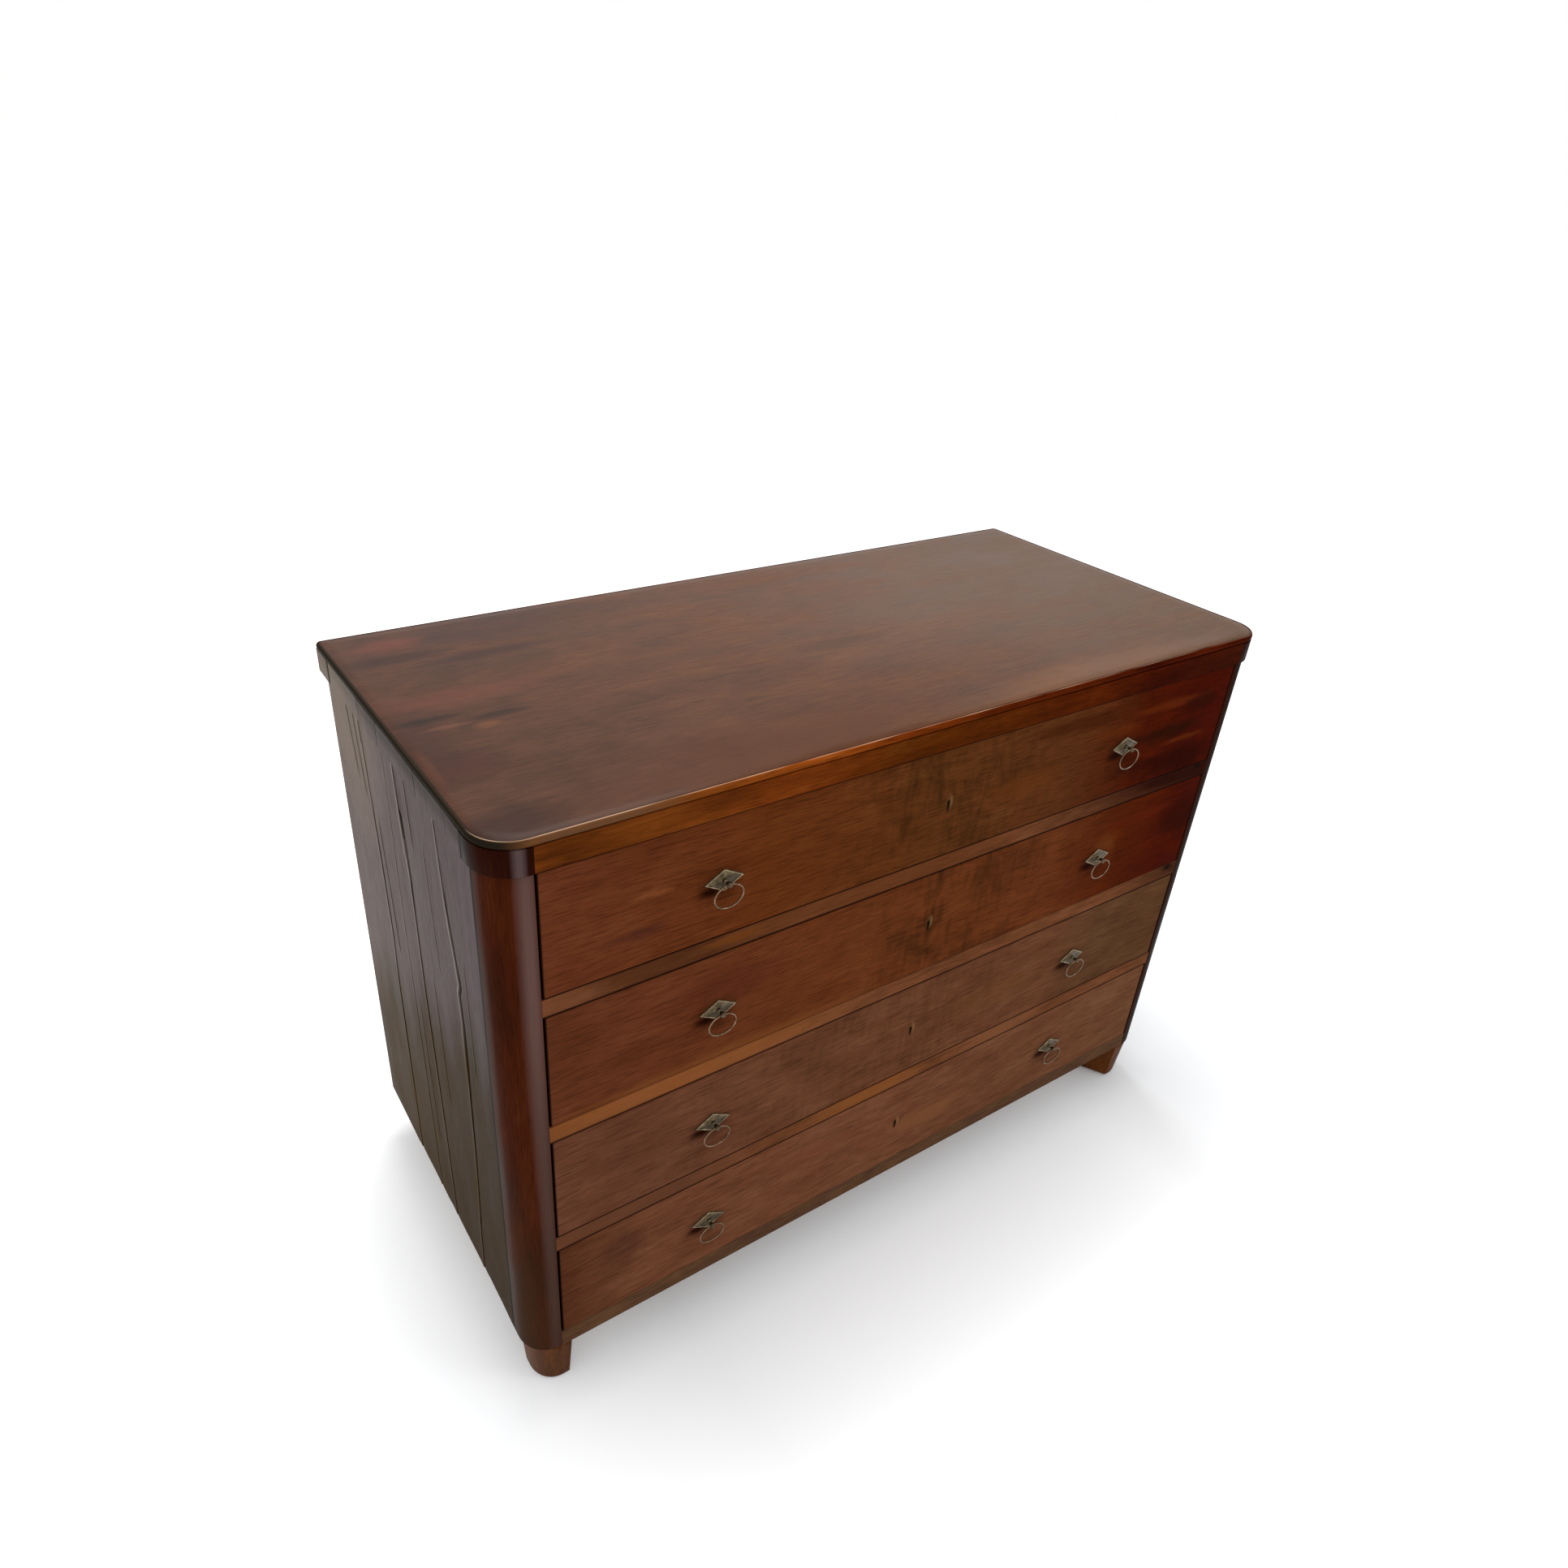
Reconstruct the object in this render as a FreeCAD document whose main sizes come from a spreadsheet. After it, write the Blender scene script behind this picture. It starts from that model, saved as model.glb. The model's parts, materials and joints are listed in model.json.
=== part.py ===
"""Bachelors chest: a four-drawer chest of drawers with rounded front corners, ring pulls and short feet.

Frame: millimetres, +X to the right, -Y to the front, +Z up, origin on the floor under the middle.
Every piece is built from the planes in the layout sheet, which follow from the driving sizes.
"""
import FreeCAD, Part
import os
import Sketcher

DRAWERS = 4          # drawers, counted from the top
RAILS = DRAWERS - 1  # rails between two drawers
TAILS = 3            # dovetails at each front corner of a drawer
SIDES = (("left", -1), ("right", 1))

# ---------------------------------------------------------------- driving sizes, in millimetres
SIZES = (
    # the case
    ("case_width", 1135, "over the outer faces of the side boards"),
    ("case_depth", 533, "front face of the posts to the back of the chest"),
    ("foot_height", 74, "floor to the underside of the case"),
    ("corner_radius", 39, "rounding of the front posts"),
    ("post_front_flat", 2.5, "flat strip of a post beside the drawers"),
    ("post_side_flat", 13, "flat strip of a post beside the side boards"),
    ("side_thickness", 20, "side boards"),
    ("side_joint_1", 148, "front face to the first joint between side boards"),
    ("side_joint_2", 279, "front face to the second joint"),
    ("side_joint_3", 406, "front face to the third joint"),
    ("back_thickness", 10, "back boards"),
    ("bottom_thickness", 12, "board that closes the case below"),
    ("rear_post_depth", 40, "posts in the back corners"),
    ("rear_rail_depth", 30, "rails along the back"),
    # the top
    ("top_thickness", 9, "top board"),
    ("frieze_height", 29.5, "band under the top board"),
    ("top_side_overhang", 7, "top and frieze past the side boards"),
    ("top_front_overhang", 3, "top and frieze past the drawer fronts"),
    ("nosing_radius", 3.6, "rounding along the edge of the top"),
    ("frieze_front_depth", 45, "front frieze, front to back"),
    ("frieze_side_width", 35, "side friezes, outside to inside"),
    ("frieze_back_depth", 30, "rear frieze"),
    ("kicker_width", 30, "strips over the sides of the top drawer"),
    # drawer openings and what carries the drawers
    ("opening_height_1", 152, "opening of the top drawer"),
    ("opening_height_2", 154, "second opening"),
    ("opening_height_3", 155, "third opening"),
    ("opening_height_4", 153, "bottom opening"),
    ("rail_height", 24.5, "rails between drawers"),
    ("bottom_rail_height", 26, "rail under the bottom drawer"),
    ("rail_depth", 60, "rails, front to back"),
    ("runner_width", 30, "ledge that carries a drawer side"),
    ("guide_height", 30, "strips that keep a drawer straight"),
    ("stop_width", 40, "drawer stops"),
    ("stop_depth", 14, "drawer stops, front to back"),
    ("stop_height", 6, "drawer stops above the rail"),
    ("stop_gap", 0.3, "drawer front to its stops"),
    ("stop_inset", 150, "opening's end to the middle of a stop"),
    # drawers
    ("drawer_side_gap", 2, "drawer to post, each side"),
    ("drawer_top_gap", 1.5, "drawer front to the rail above"),
    ("drawer_run_gap", 0.3, "drawer to the rail and runners below"),
    ("front_thickness", 22, "drawer fronts"),
    ("drawer_rear_gap", 33, "back of a drawer to the back boards"),
    ("drawer_side_thickness", 13, "drawer sides"),
    ("drawer_side_drop", 4, "drawer sides below the top of the front"),
    ("drawer_back_thickness", 12, "drawer back"),
    ("drawer_back_drop", 8, "drawer back below the drawer sides"),
    ("panel_thickness", 7, "drawer bottom"),
    ("panel_height", 9, "underside of the drawer bottom above the drawer's lower edge"),
    ("groove_depth", 5, "grooves that hold the drawer bottom"),
    ("dovetail_depth", 15, "dovetails into the drawer front"),
    ("dovetail_root", 22, "dovetail where it meets the side"),
    ("dovetail_tip", 30, "dovetail at its end"),
    # locks
    ("lock_width", 70, "lock case"),
    ("lock_height", 60, "lock case"),
    ("lock_depth", 10, "lock case, front to back"),
    ("lock_neck_width", 26, "neck of the lock, up to the top of the drawer front"),
    ("lock_fit", 0.2, "lock to its recess"),
    ("bolt_width", 14, "lock bolt"),
    ("bolt_thickness", 4, "lock bolt"),
    ("bolt_fit", 0.3, "lock bolt to its channel"),
    ("bolt_sink", 0.5, "top of the bolt below the top of the drawer front when open"),
    ("bolt_foot", 12, "lower end of the bolt above the middle of the lock"),
    ("bolt_socket_depth", 9, "socket for the bolt in the rail above"),
    ("bolt_socket_margin", 1, "socket wider than the bolt, each side"),
    ("key_radius", 2.4, "round part of the keyhole"),
    ("key_slot_width", 2.2, "slot of the keyhole"),
    ("key_slot_length", 11, "slot of the keyhole below its round part"),
    ("key_rise", 1.5, "round part above the middle of the drawer front"),
    ("key_depth_in_lock", 6, "keyhole into the lock case"),
    # ring pulls
    ("pull_offset", 317, "middle of the chest to each pull"),
    ("pull_drop", 2, "pulls below the middle of the drawer front"),
    ("plate_width", 50, "lozenge plate"),
    ("plate_height", 28, "lozenge plate"),
    ("plate_thickness", 1.8, "lozenge plate"),
    ("plate_bevel", 0.9, "bevel around the plate"),
    ("ball_radius", 3.2, "ball between plate and neck"),
    ("ball_reach", 3.4, "middle of the ball in front of the drawer"),
    ("neck_radius", 1.7, "neck between ball and head"),
    ("ring_reach", 11.5, "middle of the head in front of the drawer"),
    ("head_radius", 3.6, "pierced head"),
    ("eye_radius", 1.75, "hole through the head"),
    ("shank_radius", 2, "shank through the drawer front"),
    ("shank_fit", 0.1, "shank to its hole"),
    ("rivet_radius", 5, "rivet washer inside the drawer"),
    ("rivet_thickness", 1.6, "rivet washer"),
    ("ring_half_width", 17.7, "ring, middle of the wire"),
    ("ring_half_height", 14.2, "ring, middle of the wire"),
    ("wire_radius", 1.4, "wire of the ring"),
    # feet
    ("foot_inset", 6, "front feet inside the case"),
    ("foot_face", 43, "front foot, from its corner along each outer face"),
    ("foot_nose_radius", 34, "rounding of a front foot"),
    ("foot_splay", 26, "front foot, how far its flanks run inward"),
    ("foot_flank", 42, "front foot, how far its flanks run back"),
    ("foot_taper", 4, "slope of a front foot's faces, in degrees"),
    ("foot_edge_radius", 7, "rounding under a front foot"),
    ("rear_foot_size", 55, "rear feet, square"),
    ("rear_foot_inset", 32, "rear feet inside the case"),
)

# ---------------------------------------------------------------- planes that follow from the sizes
LAYOUT = [
    ("case_half", "=sizes.case_width / 2"),
    ("ring_front", "=max(sizes.ring_reach + sizes.head_radius; sizes.top_front_overhang)"),
    ("front", "=-(sizes.case_depth - ring_front) / 2"),
    ("back", "=front + sizes.case_depth"),
    ("post_width", "=sizes.corner_radius + sizes.post_front_flat"),
    ("post_back", "=front + sizes.corner_radius + sizes.post_side_flat"),
    ("opening_half", "=case_half - post_width"),
    ("side_inner", "=case_half - sizes.side_thickness"),
    ("back_inner", "=back - sizes.back_thickness"),
    ("rear_post_front", "=back_inner - sizes.rear_post_depth"),
    ("rear_rail_front", "=back_inner - sizes.rear_rail_depth"),
    ("rail_back", "=front + sizes.rail_depth"),
    ("case_bottom", "=sizes.foot_height"),
    ("bottom_top", "=case_bottom + sizes.bottom_thickness"),
    ("top_half", "=case_half + sizes.top_side_overhang"),
    ("top_front", "=front - sizes.top_front_overhang"),
    ("top_radius", "=sizes.corner_radius + sizes.top_side_overhang"),
    ("frieze_inner", "=top_half - sizes.frieze_side_width"),
    ("frieze_front_back", "=top_front + sizes.frieze_front_depth"),
    ("frieze_rear_front", "=back - sizes.frieze_back_depth"),
    ("runner_inner", "=opening_half - sizes.runner_width"),
    ("kicker_inner", "=opening_half - sizes.kicker_width"),
    # drawers, the same for all
    ("drawer_half", "=opening_half - sizes.drawer_side_gap"),
    ("drawer_inner", "=drawer_half - sizes.drawer_side_thickness"),
    ("front_back", "=front + sizes.front_thickness"),
    ("tail_tip", "=front_back - sizes.dovetail_depth"),
    ("drawer_rear", "=back_inner - sizes.drawer_rear_gap"),
    ("drawer_back_front", "=drawer_rear - sizes.drawer_back_thickness"),
    ("panel_half", "=drawer_inner + sizes.groove_depth"),
    ("panel_front", "=front_back - sizes.groove_depth"),
    ("lock_front", "=front_back - sizes.lock_depth"),
    ("bolt_middle", "=front_back - sizes.lock_depth / 2"),
    ("bolt_front", "=bolt_middle - sizes.bolt_thickness / 2"),
    ("bolt_back", "=bolt_middle + sizes.bolt_thickness / 2"),
    ("bolt_half", "=sizes.bolt_width / 2"),
    ("stop_front", "=front_back + sizes.stop_gap"),
    ("stop_back", "=stop_front + sizes.stop_depth"),
    ("stop_middle", "=opening_half - sizes.stop_inset"),
]
# heights, from the bottom opening up: sill_N is the top of the rail under drawer N,
# lintel_N the underside of the rail above it
LAYOUT.append((f"sill_{DRAWERS}", "=case_bottom + sizes.bottom_rail_height"))
for n in range(DRAWERS, 0, -1):
    if n < DRAWERS:
        LAYOUT.append((f"sill_{n}", f"=lintel_{n + 1} + sizes.rail_height"))
    LAYOUT.append((f"lintel_{n}", f"=sill_{n} + sizes.opening_height_{n}"))
LAYOUT += [("case_top", "=lintel_1"), ("frieze_top", "=case_top + sizes.frieze_height")]
for n in range(1, DRAWERS + 1):
    LAYOUT += [
        (f"low_{n}", f"=sill_{n} + sizes.drawer_run_gap"),
        (f"high_{n}", f"=lintel_{n} - sizes.drawer_top_gap"),
        (f"middle_{n}", f"=(low_{n} + high_{n}) / 2"),
        (f"side_high_{n}", f"=high_{n} - sizes.drawer_side_drop"),
        (f"panel_low_{n}", f"=low_{n} + sizes.panel_height"),
        (f"panel_high_{n}", f"=panel_low_{n} + sizes.panel_thickness"),
        (f"lock_low_{n}", f"=middle_{n} - sizes.lock_height / 2"),
        (f"lock_high_{n}", f"=middle_{n} + sizes.lock_height / 2"),
        (f"bolt_low_{n}", f"=middle_{n} + sizes.bolt_foot"),
        (f"bolt_high_{n}", f"=high_{n} - sizes.bolt_sink"),
        (f"key_{n}", f"=middle_{n} + sizes.key_rise"),
        (f"pull_{n}", f"=middle_{n} - sizes.pull_drop"),
    ]

doc = FreeCAD.newDocument("bachelors_chest")
nodes = []


def fill_sheet(name, rows):
    """A sheet with one named value a row: name, value, note."""
    sheet = doc.addObject("Spreadsheet::Sheet", name)
    for number, row in enumerate(rows, start=1):
        sheet.set(f"A{number}", row[0])
        sheet.set(f"B{number}", str(row[1]))
        sheet.setAlias(f"B{number}", row[0])
        if len(row) > 2:
            sheet.set(f"C{number}", row[2])
    doc.recompute()
    return sheet


sizes = fill_sheet("sizes", SIZES)
layout = fill_sheet("layout", LAYOUT)


def at(plane):
    """The expression of a plane in the layout sheet."""
    return f"layout.{plane}"


def size(name):
    """The expression of a driving size."""
    return f"sizes.{name}"


def value(formula):
    """What an expression comes to now."""
    return float(layout.evalExpression(formula))


def span(sign, inner, outer):
    """The low and high X between two distances from the middle, on the left (-1) or right (1)."""
    return (inner, outer) if sign > 0 else (f"-({outer})", f"-({inner})")


def centred(half):
    """The low and high X of something across the middle."""
    return (f"-({half})", half)


def move(thing, x, y, z):
    """Binds where an object stands."""
    for axis, formula in zip("xyz", (x, y, z)):
        thing.setExpression(f"Placement.Base.{axis}", formula)


def board(name, x, y, z):
    """A square-edged board between two planes each way."""
    box = doc.addObject("Part::Box", name)
    for prop, (low, high) in zip(("Length", "Width", "Height"), (x, y, z)):
        box.setExpression(prop, f"({high}) - ({low})")
    move(box, x[0], y[0], z[0])
    return box


def rod_along_y(name, radius, x, y, z):
    """A round rod from the first to the second Y plane."""
    rod = doc.addObject("Part::Cylinder", name)
    rod.Placement.Rotation = FreeCAD.Rotation(FreeCAD.Vector(1, 0, 0), -90)
    rod.setExpression("Radius", radius)
    rod.setExpression("Height", f"({y[1]}) - ({y[0]})")
    move(rod, x, y[0], z)
    return rod


def joined(name, members):
    """One solid from several that meet."""
    fuse = doc.addObject("Part::MultiFuse", name)
    fuse.Shapes = members
    fuse.Refine = True
    return fuse


def loose(name, members):
    """Several solids side by side, kept apart."""
    compound = doc.addObject("Part::Compound", name)
    compound.Links = members
    return compound


def without(name, base, tool):
    """A piece less what is cut from it."""
    cut = doc.addObject("Part::Cut", name)
    cut.Base = base
    cut.Tool = tool
    return cut


def node(piece, label):
    """Marks a finished sub-part, whose label is its file's name."""
    piece.Label = label
    nodes.append(piece)
    return piece


def origin_plane(body, role):
    """One of a body's own origin planes."""
    return next(feature for feature in body.Origin.OriginFeatures if feature.Role == role)


def outline(body, name, role, corners):
    """A closed sketch of straight lines whose corners are bound to expressions."""
    sketch = body.newObject("Sketcher::SketchObject", name)
    sketch.AttachmentSupport = [(origin_plane(body, role), "")]
    sketch.MapMode = "FlatFace"
    points = [FreeCAD.Vector(value(x), value(y), 0) for x, y in corners]
    for start, end in zip(points, points[1:] + points[:1]):
        sketch.addGeometry(Part.LineSegment(start, end))
    for line in range(len(points)):
        sketch.addConstraint(Sketcher.Constraint("Coincident", line, 2, (line + 1) % len(points), 1))
    for line, (corner, point) in enumerate(zip(corners, points)):
        for kind, formula, length in zip(("DistanceX", "DistanceY"), corner, point):
            if formula == "0":
                axis = -2 if kind == "DistanceX" else -1
                sketch.addConstraint(Sketcher.Constraint("PointOnObject", line, 1, axis))
                continue
            index = sketch.addConstraint(Sketcher.Constraint(kind, -1, 1, line, 1, length))
            sketch.setExpression(f"Constraints[{index}]", formula)
    return sketch


def pad(body, name, sketch, length):
    """A sketch carried along its normal."""
    feature = body.newObject("PartDesign::Pad", name)
    feature.Profile = sketch
    feature.setExpression("Length", length)
    sketch.Visibility = False
    doc.recompute()
    return feature


def dress(body, kind, name, prop, amount, wanted):
    """A fillet or chamfer on the edges of the body that the test picks."""
    base = body.Tip
    edges = [f"Edge{i}" for i, edge in enumerate(base.Shape.Edges, start=1) if wanted(edge)]
    feature = body.newObject(kind, name)
    feature.Base = (base, edges)
    feature.setExpression(prop, amount)
    doc.recompute()
    return feature


def round_edges(body, name, radius, wanted):
    """Rounds the picked edges."""
    return dress(body, "PartDesign::Fillet", name, "Radius", radius, wanted)


def all_points(edge, test):
    """True where every vertex of an edge passes the test."""
    return all(test(vertex.Point) for vertex in edge.Vertexes)


def close(first, second):
    """Equal to within a thousandth of a millimetre."""
    return abs(first - second) < 1e-3


def upright_at(x, y):
    """Picks the upright edge over one corner of a plan."""
    return lambda edge: all_points(edge, lambda point: close(point.x, x) and close(point.y, y))


# ---------------------------------------------------------------- top
def top_board():
    """The top: a thin board, rounded at its front corners, with a soft nosing on three edges."""
    body = doc.addObject("PartDesign::Body", "top_body")
    half, front, back = at("top_half"), at("top_front"), at("back")
    corners = [(f"-{half}", front), (half, front), (half, back), (f"-{half}", back)]
    pad(body, "top_pad", outline(body, "top_plan", "XY_Plane", corners), size("top_thickness"))
    edge_x, edge_y = value(half), value(front)
    for side, sign in SIDES:
        round_edges(body, f"top_corner_{side}", at("top_radius"), upright_at(sign * edge_x, edge_y))
    rear = value(back)
    heights = (0, value(size("top_thickness")))

    def on_nosing(edge):
        level = any(all_points(edge, lambda point: close(point.z, height)) for height in heights)
        return level and not all_points(edge, lambda point: close(point.y, rear))

    round_edges(body, "top_nosing", size("nosing_radius"), on_nosing)
    body.setExpression("Placement.Base.z", at("frieze_top"))
    node(body, "top_board")


def corner_piece(name, label, sign, outer, front, back, bottom, top, radius):
    """An upright or block in a front corner: square inside, rounded outside."""
    body = doc.addObject("PartDesign::Body", name)
    signed = "" if sign > 0 else "-"
    inner_x, outer_x = f"{signed}{at('opening_half')}", f"{signed}{outer}"
    corners = [(inner_x, front), (outer_x, front), (outer_x, back), (inner_x, back)]
    pad(body, f"{name}_pad", outline(body, f"{name}_plan", "XY_Plane", corners), f"({top}) - ({bottom})")
    round_edges(body, f"{name}_round", radius, upright_at(value(outer_x), value(front)))
    body.setExpression("Placement.Base.z", bottom)
    node(body, label)


def frieze():
    """The band under the top: front, sides and rear, with a quarter-round block in each front corner."""
    height = (at("case_top"), at("frieze_top"))
    front_depth = (at("top_front"), at("frieze_front_back"))
    front = board("frieze_front_blank", centred(at("opening_half")), front_depth, height)
    node(without("frieze_front", front, bolt_socket(1)), "frieze_front")
    for side, sign in SIDES:
        corner_piece(f"corner_block_{side}", f"corner_block_{side}", sign, at("top_half"), at("top_front"),
                     at("post_back"), *height, at("top_radius"))
        width = span(sign, at("frieze_inner"), at("top_half"))
        strip = board(f"frieze_{side}", width, (at("post_back"), at("back")), height)
        node(strip, f"frieze_{side}")
    rear = board("frieze_rear", centred(at("frieze_inner")), (at("frieze_rear_front"), at("back")), height)
    node(rear, "frieze_rear")
    depth = (at("frieze_front_back"), at("frieze_rear_front"))
    kickers = [board(f"kicker_{side}", span(sign, at("kicker_inner"), at("opening_half")), depth, height)
               for side, sign in SIDES]
    node(loose("top_kickers", kickers), "top_kickers")


# ---------------------------------------------------------------- case
def bolt_socket(n):
    """The space for the bolt of drawer n in the rail above it."""
    margin = size("bolt_socket_margin")
    low = at(f"lintel_{n}")
    return board(f"bolt_socket_{n}", centred(f"({at('bolt_half')} + {margin})"),
                 (f"{at('bolt_front')} - {margin}", f"{at('bolt_back')} + {margin}"),
                 (low, f"{low} + {size('bolt_socket_depth')}"))


def posts_and_sides():
    """Rounded front posts, side boards glued edge to edge, and square posts in the back corners."""
    height = (at("case_bottom"), at("case_top"))
    between = [f"{at('front')} + {size(f'side_joint_{j}')}" for j in (1, 2, 3)]
    joints = [at("post_back")] + between + [at("back")]
    rear_posts = []
    for side, sign in SIDES:
        corner_piece(f"corner_post_{side}", f"corner_post_{side}", sign, at("case_half"), at("front"),
                     at("post_back"), *height, size("corner_radius"))
        boards = [board(f"side_board_{side}_{k}", span(sign, at("side_inner"), at("case_half")), ends, height)
                  for k, ends in enumerate(zip(joints, joints[1:]), start=1)]
        node(loose(f"side_boards_{side}", boards), f"side_boards_{side}")
        rear_posts.append(board(f"rear_post_{side}", span(sign, at("opening_half"), at("side_inner")),
                                (at("rear_post_front"), at("back_inner")), height))
    node(loose("rear_posts", rear_posts), "rear_posts")


def back_and_bottom():
    """Three back boards between the sides, and the board that closes the case below."""
    count = 3
    low, high = at("case_bottom"), at("case_top")
    levels = [f"{low} + ({high} - {low}) * {k} / {count}" for k in range(count + 1)]
    backs = [board(f"back_board_{k}", centred(at("side_inner")), (at("back_inner"), at("back")), ends)
             for k, ends in enumerate(zip(levels, levels[1:]), start=1)]
    node(loose("back_boards", backs), "back_boards")
    depth = (at("rail_back"), at("back_inner"))
    node(board("bottom_board", centred(at("opening_half")), depth, (low, at("bottom_top"))), "bottom_board")


def rail_foot(n):
    """The underside of what lies behind the rail under drawer n."""
    return at(f"lintel_{n + 1}") if n < DRAWERS else at("bottom_top")


def rails():
    """Rails between the drawers and below them, each with the socket for the bolt of the drawer under it."""
    width, depth = centred(at("opening_half")), (at("front"), at("rail_back"))
    between = []
    for n in range(1, RAILS + 1):
        blank = board(f"rail_blank_{n}", width, depth, (at(f"lintel_{n + 1}"), at(f"sill_{n}")))
        between.append(without(f"rail_{n}", blank, bolt_socket(n + 1)))
    node(loose("drawer_rails", between), "drawer_rails")
    node(board("bottom_rail", width, depth, (at("case_bottom"), at(f"sill_{DRAWERS}"))), "bottom_rail")
    rear_depth = (at("rear_rail_front"), at("back_inner"))
    rear = [board(f"rear_rail_{n}", width, rear_depth, (rail_foot(n), at(f"sill_{n}")))
            for n in range(1, DRAWERS + 1)]
    node(loose("rear_rails", rear), "rear_rails")


def runners():
    """What each drawer runs on and between: runners, guides and the stops behind its front."""
    along = (at("rail_back"), at("rear_rail_front"))
    guide_along = (at("post_back"), at("rear_post_front"))
    stop_along = (at("stop_front"), at("stop_back"))
    stop_ends = [f"({at('stop_middle')} {way} {size('stop_width')} / 2)" for way in "-+"]
    ledges, guides, stops = [], [], []
    for n in range(1, DRAWERS + 1):
        low, sill = rail_foot(n), at(f"sill_{n}")
        guide_height = (low, f"{sill} + {size('guide_height')}")
        stop_height = (sill, f"{sill} + {size('stop_height')}")
        for side, sign in SIDES:
            under = span(sign, at("runner_inner"), at("opening_half"))
            beside = span(sign, at("opening_half"), at("side_inner"))
            ledges.append(board(f"runner_{side}_{n}", under, along, (low, sill)))
            guides.append(board(f"guide_{side}_{n}", beside, guide_along, guide_height))
            stops.append(board(f"stop_{side}_{n}", span(sign, *stop_ends), stop_along, stop_height))
    node(loose("drawer_runners", ledges), "drawer_runners")
    node(loose("drawer_guides", guides), "drawer_guides")
    node(loose("drawer_stops", stops), "drawer_stops")


def front_foot(side, sign):
    """A short foot under a front corner: a round nose below the post, and flanks that spread to the back."""
    body = doc.addObject("PartDesign::Body", f"front_foot_{side}")
    face, splay, flank = size("foot_face"), size("foot_splay"), size("foot_flank")
    inward = "-" if sign > 0 else ""
    corners = [("0", "0"), (f"{inward}{face}", "0"), (f"{inward}({face} + {splay})", flank),
               (f"{inward}{flank}", f"{face} + {splay}"), ("0", face)]
    plan = outline(body, f"foot_plan_{side}", "XY_Plane", corners)
    feature = pad(body, f"foot_pad_{side}", plan, size("foot_height"))
    feature.setExpression("TaperAngle", size("foot_taper"))
    doc.recompute()

    def on_nose(edge):
        ends = sorted((vertex.Point for vertex in edge.Vertexes), key=lambda point: point.z)
        return close(ends[0].z, 0) and ends[-1].z > 1 and abs(ends[0].x) < 1e-3 and abs(ends[0].y) < 1e-3

    round_edges(body, f"foot_nose_{side}", size("foot_nose_radius"), on_nose)
    round_edges(body, f"foot_sole_{side}", size("foot_edge_radius"),
                lambda edge: all_points(edge, lambda point: close(point.z, 0)))
    outward = "" if sign > 0 else "-"
    inset = size("foot_inset")
    move(body, f"{outward}({at('case_half')} - {inset})", f"{at('front')} + {inset}", "0")
    node(body, f"foot_front_{side}")


def rear_feet():
    """Plain square blocks under the back corners."""
    outer = f"({at('case_half')} - {size('rear_foot_inset')})"
    inner = f"({outer} - {size('rear_foot_size')})"
    rear = f"{at('back')} - {size('rear_foot_inset')}"
    depth, height = (f"{rear} - {size('rear_foot_size')}", rear), ("0", at("case_bottom"))
    blocks = [board(f"rear_foot_{side}", span(sign, inner, outer), depth, height) for side, sign in SIDES]
    node(loose("rear_feet", blocks), "rear_feet")


# ---------------------------------------------------------------- drawers
def dovetail(n, side, sign, k, name):
    """One tail: wide at its tip inside the drawer front, narrow where it joins the side."""
    tail = doc.addObject("Part::Wedge", name)
    low, high = at(f"low_{n}"), at(f"side_high_{n}")
    middle = f"({low} + ({high} - {low}) * {2 * k + 1} / {2 * TAILS})"
    x = span(sign, at("drawer_inner"), at("drawer_half"))
    bounds = {"Xmin": x[0], "Xmax": x[1], "X2min": x[0], "X2max": x[1]}
    bounds.update({"Ymin": at("tail_tip"), "Ymax": at("front_back")})
    for end, width in (("Z", size("dovetail_tip")), ("Z2", size("dovetail_root"))):
        bounds[f"{end}min"] = f"{middle} - {width} / 2"
        bounds[f"{end}max"] = f"{middle} + {width} / 2"
    for prop, formula in bounds.items():
        tail.setExpression(prop, formula)
    return tail


def lock_blank(n, name, fit):
    """The outline of a lock: its case, and the neck that carries the bolt to the top of the drawer front."""
    depth = (at("lock_front"), at("front_back"))
    case = board(f"{name}_case", centred(f"({size('lock_width')} / 2 + {fit})"), depth,
                 (f"{at(f'lock_low_{n}')} - {fit}", f"{at(f'lock_high_{n}')} + {fit}"))
    neck = board(f"{name}_neck", centred(f"({size('lock_neck_width')} / 2 + {fit})"), depth,
                 (at(f"middle_{n}"), at(f"high_{n}")))
    return joined(name, [case, neck])


def keyhole(n, name, back):
    """The keyhole from the front face of the drawer to a plane behind it."""
    depth = (at("front"), back)
    centre = at(f"key_{n}")
    slot = board(f"{name}_slot", centred(f"({size('key_slot_width')} / 2)"), depth,
                 (f"{centre} - {size('key_slot_length')}", centre))
    return joined(name, [rod_along_y(f"{name}_round", size("key_radius"), "0", depth, centre), slot])


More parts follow.
